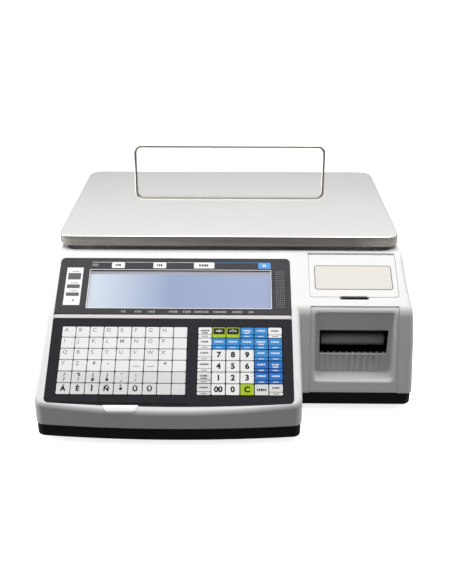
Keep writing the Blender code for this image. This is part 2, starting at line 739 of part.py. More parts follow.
def stand_components(board, top, footprints):
    """Joins box-shaped components to a board; each is x0, y0, x1, y1 and height in millimetres."""
    for x0, y0, x1, y1, tall in footprints:
        low = (x0 * MM, y0 * MM, top - 0.6 * MM)
        join(board, box(low, (x1 * MM, y1 * MM, top + tall * MM)))


def main_board():
    top = 17.6 * MM
    board = box((-180 * MM, 110 * MM, 16 * MM), (-20 * MM, 174 * MM, top))
    processor, memory = (-150, 122, -125, 147, 3), (-100, 125, -80, 145, 2)
    battery, connector = (-60, 120, -35, 140, 9), (-160, 156, -60, 168, 8)
    stand_components(board, top, (processor, memory, battery, connector))
    for x in (-172, -28):
        for y in (118, 160):
            spacer = cylinder((x * MM, y * MM), 3 * MM, 8.8 * MM, 17 * MM, "Z", 12)
            join(board, spacer)
    part(board, "main_board", "board")


def power_supply():
    tray = box((-180 * MM, -30 * MM, 9 * MM), (-100 * MM, 90 * MM, 45 * MM))
    cut(tray, box((-178.5 * MM, -40 * MM, 10.5 * MM), (-101.5 * MM, 100 * MM, 60 * MM)))
    top = 15.6 * MM
    join(tray, box((-179 * MM, -26 * MM, 14 * MM), (-101 * MM, 86 * MM, top)))
    transformer, capacitor = (-165, 20, -130, 55, 26), (-170, -18, -150, 8, 18)
    choke, heat_sink = (-138, -15, -112, 5, 14), (-122, 20, -108, 70, 20)
    stand_components(tray, top, (transformer, capacitor, choke, heat_sink))
    part(tray, "power_supply", "steel")


def power_entry():
    (left, bottom), (right, top) = INLET
    inlet = box((left, REAR_Y - 25 * MM, bottom), (right, REAR_SEAT, top))
    floor = REAR_Y - 18 * MM
    socket = rounded_rectangle((-168 * MM, 38 * MM), (-144 * MM, 54 * MM), 3 * MM, 2)
    cut(inlet, prism(socket, "Y", floor, REAR_Y + 5 * MM))
    for x, z in ((-163, 47), (-149, 47), (-156, 43)):
        root, tip = REAR_Y - 20 * MM, REAR_Y - 7 * MM
        join(inlet, box(((x - 1) * MM, root, (z - 2) * MM), ((x + 1) * MM, tip, (z + 2) * MM)))
    cut(inlet, box((-140 * MM, floor, 37 * MM), (-128 * MM, REAR_Y + 5 * MM, 55 * MM)))
    part(inlet, "power_inlet", "black_plastic")

    axis_y, axis_z = ROCKER_YZ
    reach = 7.5 * MM
    back = axis_y - 5 * MM
    outline = [
        (back, axis_z - 2 * MM),
        (axis_y + 0.6 * MM, axis_z - reach),
        (axis_y + 2.4 * MM, axis_z),
        (axis_y + 3.4 * MM, axis_z + reach),
        (axis_y - 1.5 * MM, axis_z + reach),
        (back, axis_z + 2 * MM),
    ]
    rocker = prism(outline, "X", -139.6 * MM, -128.4 * MM)
    part(rocker, "power_rocker", "grey_plastic", origin=(-134 * MM, *ROCKER_YZ))


def rear_display():
    (left, bottom), (right, top) = REAR_WINDOW
    window = box((left, REAR_Y - 2 * MM, bottom), (right, REAR_SEAT, top))
    part(window, "rear_window", "smoke_window")
    rim = 4.7 * MM
    back, front = REAR_Y - 13 * MM, REAR_Y - 3.5 * MM
    module = box((left - rim, back, bottom - rim), (right + rim, front, top + rim))
    part(module, "rear_lcd_module", "lcd")


def port_plate():
    (left, bottom), (right, top) = PORTS
    face = REAR_Y - 1.1 * MM
    plate = box((left, face - 1.5 * MM, bottom), (right, face, top))
    network, drawer, serial = (74, 41, 90, 56, 22), (114, 41, 130, 56, 14), (135, 42, 165, 54, 10)
    lower_usb, upper_usb = (95, 42, 109, 49, 14), (95, 50.5, 109, 57.5, 14)
    wall, floor = 1.5 * MM, REAR_Y - 8 * MM
    for x0, z0, x1, z1, deep in (network, lower_usb, upper_usb, drawer, serial):
        low, high = (x0 * MM, z0 * MM), (x1 * MM, z1 * MM)
        join(plate, box((low[0], face - deep * MM, low[1]), (high[0], REAR_SEAT, high[1])))
        mouth = (high[0] - wall, REAR_Y + 5 * MM, high[1] - wall)
        cut(plate, box((low[0] + wall, floor, low[1] + wall), mouth))
    part(plate, "port_plate", "steel")


def electronics():
    main_board()
    power_supply()
    power_entry()
    rear_display()
    port_plate()
    level = cylinder(LEVEL_XY, 8 * MM, 133 * MM, 139.8 * MM, "Z", 24)
    part(level, "spirit_level", "level_green", origin=(*LEVEL_XY, 139.8 * MM), smooth=True)


# --- printer ------------------------------------------------------------------------------------
LID_X = (86.5 * MM, 182.4 * MM)
LID_AXIS = (79 * MM, -2.5 * MM)  # hinge axis in the display slope frame


def label_cover():
    low, high = LID_X
    front = 23.3 * MM
    outline = rounded_outline(
        [
            (low, front, 3 * MM),
            (high, front, 3 * MM),
            (high, LID_AXIS[0], 0),
            (low, LID_AXIS[0], 0),
        ]
    )
    lid = prism(outline, "Z", -2.5 * MM, 0)
    join(lid, cylinder(LID_AXIS, 2.5 * MM, low, high, "X", 20))
    cut(lid, prism(rounded_rectangle(*BADGE, 3 * MM, 3), "Z", -0.9 * MM, 5 * MM))
    cut(lid, cylinder(LID_AXIS, 1.5 * MM, low - 5 * MM, high + 5 * MM, "X", 16))
    middle = (low + high) / 2
    part(lid, "label_cover", "white_plastic", origin=(middle, *LID_AXIS), frame=DISPLAY_FRAME, smooth=True)

    badge = prism(inset(rounded_rectangle(*BADGE, 3 * MM, 3), GAP), "Z", -0.6 * MM, 0.1 * MM)
    part(badge, "cover_badge", "trim_cream", origin=(middle, *LID_AXIS), frame=DISPLAY_FRAME)

    pin = cylinder(LID_AXIS, 1.2 * MM, 82.5 * MM, 186.4 * MM, "X", 16)
    part(pin, "cover_hinge_pin", "steel", origin=(middle, *LID_AXIS), frame=DISPLAY_FRAME, smooth=True)


BADGE = ((92.2 * MM, 33.2 * MM), (177 * MM, 65.7 * MM))
FASCIA_X = (CASSETTE_X[0] + GAP, CASSETTE_X[1] - GAP)
PLATES_X = ((91 * MM, 92.5 * MM), (172 * MM, 173.5 * MM))


def printer_fascia():
    fascia = prism(printer_profile(21.6 * MM), "X", *FASCIA_X)
    overlap(fascia, fascia_opening(72.7 * MM, -113.8 * MM, (0, 300 * MM)))
    left, right = 91.6 * MM, 176.2 * MM
    sill = 34 * MM
    recess = rounded_rectangle((left, sill), (right, 130 * MM), 4 * MM, 3)
    cut(fascia, prism(recess, "Y", -170 * MM, RECESS_Y))
    slot_low, slot_high = 57 * MM, 84.5 * MM
    slot = [
        (98.2 * MM, slot_low),
        (170.4 * MM, slot_low),
        (171.5 * MM, slot_high),
        (96.4 * MM, slot_high),
    ]
    cut(fascia, prism(slot, "Y", -130 * MM, -100 * MM))
    inner_low, inner_high = FASCIA_X[0] + 2.7 * MM, FASCIA_X[1] - 2.7 * MM
    hollow = box((inner_low, -138.5 * MM, 24.4 * MM), (inner_high, -100 * MM, 31.4 * MM))
    gear_relief = box((173.8 * MM, -116.2 * MM, 54 * MM), (179.2 * MM, -100 * MM, 82 * MM))
    cut(fascia, hollow, gear_relief)
    back, front = RECESS_Y + GAP, RECESS_Y - 2.5 * MM
    rib = [(back, sill - 0.5 * MM), (front, sill - 0.5 * MM), (front, 52 * MM), (back, 57 * MM)]
    for k in range(11):
        x = 100.6 * MM + k * 6.66 * MM
        join(fascia, prism(rib, "X", x - 0.6 * MM, x + 0.6 * MM))
    part(fascia, "printer_fascia", "white_plastic", smooth=True)


def printer_chassis():
    floor = box((PLATES_X[0][0], -113.4 * MM, 24 * MM), (PLATES_X[1][1], 38 * MM, 25.5 * MM))
    side = rounded_outline(
        [
            (-113.4 * MM, 24.2 * MM, 0),
            (38 * MM, 24.2 * MM, 0),
            (38 * MM, 66 * MM, 10 * MM),
            (-10 * MM, 84 * MM, 10 * MM),
            (-60 * MM, 84 * MM, 5 * MM),
            (-78 * MM, 103 * MM, 5 * MM),
            (-113.4 * MM, 103 * MM, 3 * MM),
        ],
        3,
    )
    bores = (
        (PLATEN_YZ, 2.5), (ROLL_YZ, 4), (REWIND_YZ, 2.5), (PINION_YZ, 3.2), (HEAD_YZ, 1.5), (LEVER_YZ, 1.5),
    )
    chassis = floor
    for low, high in PLATES_X:
        join(chassis, prism(side, "X", low, high))
    for centre, radius in bores:
        cut(chassis, cylinder(centre, radius * MM + GAP, 85 * MM, 180 * MM, "X", 20))
    rear_bar = box((PLATES_X[0][0], 35 * MM, 56 * MM), (PLATES_X[1][1], 37 * MM, 64 * MM))
    idler_stud = cylinder(IDLER_YZ, 1.5 * MM, 172.5 * MM, 179.5 * MM, "X", 16)
    join(chassis, rear_bar, idler_stud)
    part(chassis, "printer_chassis", "steel")


def turn_from(centre, distance, degrees):
    angle = math.radians(degrees)
    return (centre[0] + distance * math.cos(angle), centre[1] + distance * math.sin(angle))


MESH_CLEARANCE = 0.1 * MM
IDLER_ANGLE, PINION_ANGLE = -30, -75
IDLER_YZ = turn_from(
    PLATEN_YZ, GEAR_MODULE * (PLATEN_TEETH + IDLER_TEETH) / 2 + MESH_CLEARANCE, IDLER_ANGLE
)
PINION_YZ = turn_from(
    IDLER_YZ, GEAR_MODULE * (IDLER_TEETH + PINION_TEETH) / 2 + MESH_CLEARANCE, PINION_ANGLE
)
HEAD_YZ = (-84 * MM, 92 * MM)
LEVER_YZ = (-100 * MM, 96 * MM)


def gear(name, centre, teeth, bore, tooth_at):
    """A spur gear about X with one tooth pointing at an angle in the YZ plane."""
    pitch_radius = GEAR_MODULE * teeth / 2
    root, tip = pitch_radius - 1.2 * GEAR_MODULE, pitch_radius + 0.85 * GEAR_MODULE
    tooth = math.tau / teeth
    outline = []
    for k in range(teeth):
        middle = math.radians(tooth_at) + k * tooth
        for radius, share in ((root, -0.25), (tip, -0.1), (tip, 0.1), (root, 0.25)):
            angle = middle + share * tooth
            outline.append((centre[0] + radius * math.cos(angle), centre[1] + radius * math.sin(angle)))
    wheel = prism(outline, "X", *GEAR_X)
    cut(wheel, cylinder(centre, bore + GAP, 160 * MM, 190 * MM, "X", 16))
    part(wheel, name, "grey_plastic", origin=(GEAR_X[0], *centre))


def gear_train():
    shaft = 2.5 * MM
    roller = cylinder(PLATEN_YZ, 8 * MM, 99.5 * MM, 168.5 * MM, "X", 32)
    join(roller, cylinder(PLATEN_YZ, shaft, 90 * MM, 179.5 * MM, "X", 16))
    part(roller, "platen_roller", "rubber", origin=(134 * MM, *PLATEN_YZ), smooth=True)
    gear("platen_gear", PLATEN_YZ, PLATEN_TEETH, shaft, IDLER_ANGLE)

    idler_step = 360 / IDLER_TEETH
    idler_tooth = IDLER_ANGLE + 180 + idler_step / 2
    gear("idler_gear", IDLER_YZ, IDLER_TEETH, 1.5 * MM, idler_tooth)
    teeth_past = (PINION_ANGLE - idler_tooth) / idler_step
    lead = (teeth_past - round(teeth_past)) * idler_step
    pinion_step = 360 / PINION_TEETH
    pinion_tooth = PINION_ANGLE + 180 + lead * IDLER_TEETH / PINION_TEETH + pinion_step / 2
    gear("motor_pinion", PINION_YZ, PINION_TEETH, 1 * MM, pinion_tooth)

    motor = cylinder(PINION_YZ, 10.5 * MM, 152 * MM, 171.7 * MM, "X", 28)
    join(motor, cylinder(PINION_YZ, 1 * MM, 170 * MM, 179.5 * MM, "X", 12))
    part(motor, "stepper_motor", "steel", smooth=True)


def print_head():
    head = box((99.5 * MM, -111.5 * MM, 76.8 * MM), (168.5 * MM, -92 * MM, 84 * MM))
    arm = box((99.5 * MM, -97 * MM, 79 * MM), (168.5 * MM, -81 * MM, 89 * MM))
    join(head, arm)
    join(head, cylinder(HEAD_YZ, 3.6 * MM, 99.5 * MM, 168.5 * MM, "X", 20))
    join(head, cylinder(HEAD_YZ, 1.5 * MM, 90 * MM, 174.3 * MM, "X", 16))
    part(head, "thermal_head", "aluminium", origin=(134 * MM, *HEAD_YZ))

    y, z = LEVER_YZ
    lever = cylinder(LEVER_YZ, 1.5 * MM, 90 * MM, 174.3 * MM, "X", 16)
    for low, high in ((93.5, 98.5), (165, 171)):
        join(lever, cylinder(LEVER_YZ, 3.2 * MM, low * MM, high * MM, "X", 16))
    handle = [
        (y - 1.6 * MM, z - 1 * MM),
        (y + 1.6 * MM, z - 1 * MM),
        (y + 12.5 * MM, z + 9.5 * MM),
        (y + 10.5 * MM, z + 12 * MM),
    ]
    join(lever, prism(handle, "X", 93.5 * MM, 98.5 * MM))
    part(lever, "head_lever", "blue_plastic", origin=(134 * MM, *LEVER_YZ))


def spools():
    roll = cylinder(ROLL_YZ, 36 * MM, 102 * MM, 164 * MM, "X", 48)
    cut(roll, cylinder(ROLL_YZ, 19.2 * MM, 90 * MM, 180 * MM, "X", 40))
    part(roll, "label_roll", "paper", origin=(133 * MM, *ROLL_YZ), smooth=True)
    hub = cylinder(ROLL_YZ, 18.7 * MM, 100 * MM, 167 * MM, "X", 40)
    join(hub, cylinder(ROLL_YZ, 4 * MM, 90 * MM, 174.3 * MM, "X", 20))
    for k in range(3):
        angle = 120 * k + 30
        cut(hub, cylinder(turn_from(ROLL_YZ, 11 * MM, angle), 4.5 * MM, 95 * MM, 162 * MM, "X", 16))
    part(hub, "supply_hub", "grey_plastic", origin=(133 * MM, *ROLL_YZ))
    spool = cylinder(REWIND_YZ, 11 * MM, 98 * MM, 166 * MM, "X", 28)
    for low, high in ((96, 98.5), (165.5, 168)):
        join(spool, cylinder(REWIND_YZ, 16 * MM, low * MM, high * MM, "X", 28))
    join(spool, cylinder(REWIND_YZ, 2.5 * MM, 90 * MM, 174.3 * MM, "X", 16))
    part(spool, "rewind_spool", "grey_plastic", origin=(133 * MM, *REWIND_YZ), smooth=True)


def build():
    for obj in list(bpy.data.objects):
        bpy.data.objects.remove(obj)
    base_tray()
    top_case()
    levelling_feet()
    weighing_train()
    platter_support()
    platter()
    wire_guard()
    display()
    keypad()
    electronics()
    label_cover()
    printer_fascia()
    printer_chassis()
    gear_train()
    print_head()
    spools()


build()
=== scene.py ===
"""Looks of the label printing scale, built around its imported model.

Metres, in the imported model's frame. Panels on the sloping front are modelled in a slope frame: x
along the panel, y up the slope, z out of it, with its origin on the fold between display and keys.
"""

import math

import bmesh
import bpy
from mathutils import Matrix, Vector


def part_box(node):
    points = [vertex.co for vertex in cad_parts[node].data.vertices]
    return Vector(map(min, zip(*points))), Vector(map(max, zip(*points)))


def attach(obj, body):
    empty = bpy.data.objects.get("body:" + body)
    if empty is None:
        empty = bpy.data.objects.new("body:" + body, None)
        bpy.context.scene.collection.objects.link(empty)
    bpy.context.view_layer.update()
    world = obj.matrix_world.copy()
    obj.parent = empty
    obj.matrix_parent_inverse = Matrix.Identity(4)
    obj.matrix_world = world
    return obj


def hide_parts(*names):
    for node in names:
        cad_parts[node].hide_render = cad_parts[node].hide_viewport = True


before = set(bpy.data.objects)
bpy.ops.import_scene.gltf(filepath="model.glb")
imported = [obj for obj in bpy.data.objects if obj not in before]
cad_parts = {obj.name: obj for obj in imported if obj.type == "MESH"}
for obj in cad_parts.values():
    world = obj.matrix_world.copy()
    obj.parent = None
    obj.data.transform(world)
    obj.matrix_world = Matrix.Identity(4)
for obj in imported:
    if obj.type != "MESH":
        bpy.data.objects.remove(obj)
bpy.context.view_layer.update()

MM = 0.001
GAP = 0.3 * MM


def mm(*values):
    """Millimetres, as a tuple of metres."""
    return tuple(value * MM for value in values)


# --- driving dimensions, from the frame where it holds them -------------------------------------
CASE_LOW, CASE_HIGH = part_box("top_case")
BASE_LOW, BASE_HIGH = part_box("base_tray")
PLATTER_LOW, PLATTER_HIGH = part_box("platter")
CASE_TOP = CASE_HIGH.z
REAR_Y = CASE_HIGH.y
FRONT_Y = CASE_LOW.y
CORNER_Y = FRONT_Y + 8 * MM
LEFT_X, RIGHT_X = -193.7 * MM, 192.8 * MM
FLARE = 5 * MM
STEP_X = 74.35 * MM
WALL = 3 * MM
EDGE_Y = -54.25 * MM
DISPLAY_SLOPE, KEYPAD_SLOPE = math.radians(31), math.radians(35.7)
DISPLAY_RUN = 83 * MM
LID_RUN = 76.9 * MM  # down the lid's slope, to where the printer's leaning face would meet it
SHOULDER_RADIUS = 18 * MM
FASCIA_LEAN = math.radians(15.25)
RIM_RADIUS = 3.5 * MM  # along the operator's side
DECK_Z = 139 * MM
PANEL_X = mm(-188, 66)
KEY_PITCH = mm(14.72, 13.05)
KEY_SIZE = mm(13.9, 12.25)
KEY_TOP_Y = -15 * MM
KEY_FACE = 0
LETTER_X, COMMAND_X = -176.8 * MM, -33.2 * MM
LID_X = mm(86.5, 182.4)
LID_AXIS = mm(79, -2.5)
CASSETTE_X = mm(86.5, 181.1)
BADGE = (mm(92.2, 33.2), mm(177, 65.7))
SCREEN = (mm(-154.2, 8.4), mm(44.3, 58.6))
RECESS_Y = -119.25 * MM
FASCIA_TOP = 110.22 * MM
SILL = 34 * MM
RECESS = ((91.6 * MM, SILL), mm(176.2, 106.5))
SLOT = (mm(97.3, 57), mm(170.95, 84.5))
RIBS = 11
GUARD_X = mm(-131.5, 124.7)
LEVEL_XY = mm(-120, 20)
REAR_WINDOW = (mm(-150, 86), mm(60, 124))
PORTS = (mm(70, 34), mm(168, 60))
INLET = (mm(-172, 34), mm(-124, 58))

EDGE = Vector((0, EDGE_Y, CASE_TOP))
FOLD = EDGE - DISPLAY_RUN * Vector((0, math.cos(DISPLAY_SLOPE), math.sin(DISPLAY_SLOPE)))
DISPLAY_FRAME = Matrix.Translation(FOLD) @ Matrix.Rotation(DISPLAY_SLOPE, 4, "X")
KEYPAD_FRAME = Matrix.Translation(FOLD) @ Matrix.Rotation(KEYPAD_SLOPE, 4, "X")


# --- materials ----------------------------------------------------------------------------------
def shader_nodes(name):
    material = bpy.data.materials.new(name)
    material.use_nodes = True
    tree = material.node_tree
    shader = tree.nodes["Principled BSDF"]
    place = tree.nodes.new("ShaderNodeTexCoord")
    return material, tree, shader, place.outputs["Object"]


def noise(tree, vector, size, detail=3, stretch=(1, 1, 1)):
    """A noise whose features are about size metres across, drawn out along the axes by stretch."""
    mapping = tree.nodes.new("ShaderNodeMapping")
    mapping.inputs["Scale"].default_value = [1 / s for s in stretch]
    tree.links.new(vector, mapping.inputs["Vector"])
    texture = tree.nodes.new("ShaderNodeTexNoise")
    texture.inputs["Scale"].default_value = 1 / size
    texture.inputs["Detail"].default_value = detail
    tree.links.new(mapping.outputs["Vector"], texture.inputs["Vector"])
    return texture.outputs["Fac"]


def map_range(tree, value, source, target=(0, 1)):
    node = tree.nodes.new("ShaderNodeMapRange")
    for name, number in zip(("From Min", "From Max", "To Min", "To Max"), (*source, *target)):
        node.inputs[name].default_value = number
    tree.links.new(value, node.inputs["Value"])
    return node.outputs["Result"]


def spread(tree, value, low, high):
    """A noise value mapped onto the range low to high."""
    return map_range(tree, value, (0.25, 0.75), (low, high))


def split(tree, vector):
    """The X, Y and Z outputs of a vector."""
    node = tree.nodes.new("ShaderNodeSeparateXYZ")
    tree.links.new(vector, node.inputs["Vector"])
    return node.outputs


def colour_ramp(tree, value, stops):
    """A colour for each value, between (position, colour) stops."""
    node = tree.nodes.new("ShaderNodeValToRGB")
    elements = node.color_ramp.elements
    for element, (position, colour) in ((elements[0], stops[0]), (elements[1], stops[-1])):
        element.position = position
        element.color = (*colour, 1)
    for position, colour in stops[1:-1]:
        elements.new(position).color = (*colour, 1)
    tree.links.new(value, node.inputs["Fac"])
    return node.outputs["Color"]


def blend_colours(tree, factor, first, second):
    node = tree.nodes.new("ShaderNodeMix")
    node.data_type = "RGBA"
    tree.links.new(factor, node.inputs["Factor"])
    for socket, colour in ((node.inputs["A"], first), (node.inputs["B"], second)):
        if isinstance(colour, tuple):
            socket.default_value = (*colour, 1)
        else:
            tree.links.new(colour, socket)
    return node.outputs["Result"]


def bump(tree, shader, height, depth):
    node = tree.nodes.new("ShaderNodeBump")
    node.inputs["Strength"].default_value = 1
    node.inputs["Distance"].default_value = depth
    tree.links.new(height, node.inputs["Height"])
    tree.links.new(node.outputs["Normal"], shader.inputs["Normal"])


def finish(
    name, colour, rough, grain, depth, tint=0.03, metallic=0.0, coat=0.0, stretch=(1, 1, 1), specular=0.5
):
    """A surface whose colour and gloss vary slowly, with a grain given in millimetres."""
    material, tree, shader, vector = shader_nodes(name)
    shader.inputs["Metallic"].default_value = metallic
    shader.inputs["Specular IOR Level"].default_value = specular
    shader.inputs["Coat Weight"].default_value = coat
    shader.inputs["Coat Roughness"].default_value = 0.12
    slow = spread(tree, noise(tree, vector, 45 * MM, 2), 0, 1)
    darker = tuple(c * (1 - tint) for c in colour)
    tree.links.new(blend_colours(tree, slow, darker, colour), shader.inputs["Base Color"])
    gloss = spread(tree, noise(tree, vector, 9 * MM, 3, stretch), rough * 0.88, rough * 1.12)
    tree.links.new(gloss, shader.inputs["Roughness"])
    bump(tree, shader, noise(tree, vector, grain * MM, 2, stretch), depth * MM)
    return material


def film(name, colour, rough=0.48, **more):
    """The printed film of a key."""
    return finish(name, colour, rough, 0.3, 0.010, **more)


def ink(name, colour, **more):
    return finish(name, colour, 0.5, 0.2, 0.003, **more)


def metal(name, colour, rough, grain, depth, **more):
    return finish(name, colour, rough, grain, depth, metallic=1.0, **more)


def screen_finish():
    """The display's pale blue glow, lighter at its left, with faint pixel rows."""
    material, tree, shader, vector = shader_nodes("screen")
    across = map_range(tree, split(tree, vector)["X"], (SCREEN[0][0], SCREEN[1][0]))
    stops = ((0, (0.635, 0.69, 0.78)), (0.45, (0.267, 0.339, 0.515)), (0.9, (0.315, 0.376, 0.558)))
    rows = spread(tree, noise(tree, vector, 1.1 * MM, 1, (40, 1, 1)), 0, 0.06)
    mixed = blend_colours(tree, rows, colour_ramp(tree, across, stops), (0.20, 0.26, 0.40))
    tree.links.new(mixed, shader.inputs["Base Color"])
    shader.inputs["Roughness"].default_value = 0.32
    shader.inputs["Specular IOR Level"].default_value = 0.2
    return material


def skirt_steel_painted_reflection():
    """Sheet metal with lengthwise brushed streaks, under a painted reflection: cream towards its ends,
    brown-grey between.
    """
    material, tree, shader, vector = shader_nodes("skirt_steel_painted_reflection")
    # Painted reflection: the colour ramp across the pan's width stands in for the room mirrored in the
    # skirt.
    corner, reflected_cream = (0.86, 0.80, 0.72), (1.0, 0.93, 0.84)
    stops = (
        (0, corner), (0.035, reflected_cream), (0.3, (0.74, 0.67, 0.61)), (0.5, (0.56, 0.49, 0.45)),
        (0.86, (0.52, 0.46, 0.43)), (0.95, reflected_cream), (1, corner),
    )
    across = map_range(tree, split(tree, vector)["X"], (PLATTER_LOW.x, PLATTER_HIGH.x))
    streaks = noise(tree, vector, 3 * MM, 3, (70, 70, 1))
    painted_reflection = colour_ramp(tree, across, stops)
    mixed = blend_colours(tree, spread(tree, streaks, 0, 0.55), painted_reflection, (0.24, 0.21, 0.20))
    tree.links.new(mixed, shader.inputs["Base Color"])
    shader.inputs["Metallic"].default_value = 0.12
    shader.inputs["Roughness"].default_value = 0.38
    bump(tree, shader, streaks, 0.004 * MM)
    return material


def wound_paper():
    """Label paper: smooth round the roll, with the edges of its turns showing at the ends."""
    material, tree, shader, vector = shader_nodes("label_paper")
    low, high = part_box("label_roll")
    mapping = tree.nodes.new("ShaderNodeMapping")
    mapping.inputs["Location"].default_value = -(low + high) / 2
    tree.links.new(vector, mapping.inputs["Vector"])
    turns = tree.nodes.new("ShaderNodeTexWave")
    turns.wave_type = "RINGS"
    turns.rings_direction = "X"
    turns.inputs["Scale"].default_value = 160
    turns.inputs["Distortion"].default_value = 0.6
    tree.links.new(mapping.outputs["Vector"], turns.inputs["Vector"])
    mixed = blend_colours(tree, turns.outputs["Fac"], (0.70, 0.66, 0.56), (0.88, 0.87, 0.83))
    tree.links.new(mixed, shader.inputs["Base Color"])
    shader.inputs["Roughness"].default_value = 0.75
    bump(tree, shader, turns.outputs["Fac"], 0.05 * MM)
    return material


def circuit_board():
    """Green solder mask with the lighter runs of its copper under it."""
    material, tree, shader, vector = shader_nodes("circuit_board")
    runs = tree.nodes.new("ShaderNodeTexBrick")
    runs.inputs["Scale"].default_value = 90
    runs.inputs["Mortar Size"].default_value = 0.03
    runs.inputs["Color1"].default_value = (0.015, 0.14, 0.05, 1)
    runs.inputs["Color2"].default_value = (0.018, 0.17, 0.06, 1)
    runs.inputs["Mortar"].default_value = (0.05, 0.30, 0.12, 1)
    tree.links.new(vector, runs.inputs["Vector"])
    tree.links.new(runs.outputs["Color"], shader.inputs["Base Color"])
    shader.inputs["Roughness"].default_value = 0.4
    bump(tree, shader, noise(tree, vector, 0.8 * MM), 0.03 * MM)
    return material


WHITE = finish("case_plastic", (0.80, 0.80, 0.795), 0.40, 0.5, 0.012)
BLACK = finish("base_plastic", (0.024, 0.024, 0.025), 0.5, 0.5, 0.02, tint=0.2, specular=0.12)
PANEL = finish("panel_print", (0.040, 0.040, 0.045), 0.42, 0.35, 0.008, tint=0.12, specular=0.14)
FIELD = finish("keypad_print", (0.016, 0.015, 0.021), 0.46, 0.35, 0.010, tint=0.15, specular=0.12)
CREAM = finish("badge_film", (0.70, 0.67, 0.615), 0.38, 0.25, 0.006)
SILVER = finish(
    "trim_satin", (0.52, 0.50, 0.485), 0.36, 0.3, 0.006, metallic=0.35, stretch=(30, 1, 1), specular=0.3
)
KEY_WHITE = film("key_film_white", (0.84, 0.84, 0.83))
KEY_GREY = film("key_film_grey", (0.70, 0.70, 0.69))
KEY_BLUE = film("key_film_blue", (0.028, 0.27, 0.68), 0.42, tint=0.12, specular=0.25)
KEY_DEEP = film("key_film_deep_blue", (0.014, 0.16, 0.55), 0.42, tint=0.12, specular=0.2)
KEY_LIME = film("key_film_lime", (0.40, 0.56, 0.012), 0.46, tint=0.06, specular=0.2)
KEY_BLACK = film("key_film_black", (0.012, 0.012, 0.013), 0.4, tint=0.1, specular=0.12)
DARK_INK = ink("dark_ink", (0.012, 0.012, 0.014), tint=0.2, specular=0.12)
GREY_INK = ink("grey_ink", (0.13, 0.13, 0.14), tint=0.1, specular=0.15)
PALE_INK = ink("pale_ink", (0.34, 0.34, 0.355), tint=0.1, specular=0.2)
WHITE_INK = ink("white_ink", (0.85, 0.85, 0.85))
BLUE_INK = ink("blue_ink", (0.035, 0.30, 0.75), tint=0.1)
STAINLESS = metal("platter_steel", (0.83, 0.825, 0.81), 0.055, 0.9, 0.0006, stretch=(25, 1, 1))
WIRE = metal("guard_wire", (0.75, 0.70, 0.64), 0.34, 0.3, 0.004, stretch=(20, 1, 1))
ZINC = metal("zinc_sheet", (0.55, 0.55, 0.56), 0.34, 0.8, 0.01, tint=0.12)
ALUMINIUM = metal("cast_aluminium", (0.66, 0.67, 0.68), 0.40, 0.6, 0.02, tint=0.08)
SUPPORT = finish("painted_casting", (0.93, 0.91, 0.89), 0.4, 0.7, 0.03, tint=0.08, metallic=0.15)
DARK_STEEL = finish(
    "black_steel", (0.022, 0.022, 0.024), 0.5, 0.6, 0.01, tint=0.15, metallic=0.4, specular=0.2
)
PLATEN_RUBBER = finish("platen_rubber", (0.62, 0.60, 0.58), 0.42, 0.5, 0.01, tint=0.1)
RUBBER = finish("rubber", (0.028, 0.028, 0.030), 0.75, 0.4, 0.03, tint=0.2)
ACETAL = finish("acetal", (0.28, 0.28, 0.29), 0.42, 0.5, 0.01, tint=0.06)
LEVER_BLUE = finish("lever_plastic", (0.03, 0.14, 0.48), 0.40, 0.5, 0.01, tint=0.08)
SMOKE = finish("smoked_window", (0.035, 0.035, 0.042), 0.10, 0.6, 0.002, tint=0.2, coat=1.0)
LEVEL = finish("level_fluid", (0.42, 0.72, 0.08), 0.08, 2, 0.002, tint=0.1, coat=1.0)
# Painted shadow: the grey of the strip along the screen's upper edge stands in for the panel edge's shade.
SCREEN_PAINTED_SHADOW = finish("screen_painted_shadow", (0.37, 0.365, 0.42), 0.4, 0.5, 0.004, tint=0.05, specular=0.2)
SCREEN_GLOW = screen_finish()
# The skirt's steel carries a painted reflection.
SKIRT_PAINTED_REFLECTION = skirt_steel_painted_reflection()
PAPER = wound_paper()
BOARD = circuit_board()


# --- mesh building ------------------------------------------------------------------------------
def rounded_outline(corners, steps=8):
    """An outline through (x, y, radius) corners, each rounded by an arc of that radius."""
    points = []
    count = len(corners)
    for i, (x, y, radius) in enumerate(corners):
        here = Vector((x, y))
        if radius == 0:
            points.append(here)
            continue
        before = (Vector(corners[i - 1][:2]) - here).normalized()
        after = (Vector(corners[(i + 1) % count][:2]) - here).normalized()
        half = before.angle(after) / 2
        centre = here + (before + after).normalized() * (radius / math.sin(half))
        start = here + before * (radius / math.tan(half)) - centre
        end = here + after * (radius / math.tan(half)) - centre
        turn = math.pi - 2 * half
        sign = 1 if start.x * end.y - start.y * end.x > 0 else -1
        for k in range(steps + 1):
            points.append(centre + Matrix.Rotation(sign * turn * k / steps, 2) @ start)
    return points


def rounded_rectangle(low, high, radius, steps=8):
    corners = [(low[0], low[1]), (high[0], low[1]), (high[0], high[1]), (low[0], high[1])]
    return rounded_outline([(x, y, radius) for x, y in corners], steps)


def inset(points, distance):
    """The outline moved inwards by a distance, with mitred corners."""
    points = [Vector(p) for p in points]
    count = len(points)
    area = sum(points[i - 1].x * points[i].y - points[i].x * points[i - 1].y for i in range(count))
    side = 1 if area > 0 else -1
    moved = []
    for i in range(count):
        first = (points[i] - points[i - 1]).normalized()
        second = (points[(i + 1) % count] - points[i]).normalized()
        normal_a = Vector((-first.y, first.x)) * side
        normal_b = Vector((-second.y, second.x)) * side
        bisector = (normal_a + normal_b).normalized()
        moved.append(points[i] + bisector * (distance / bisector.dot(normal_a)))
    return moved


def level(points, z):
    return [Vector((p[0], p[1], z)) for p in points]


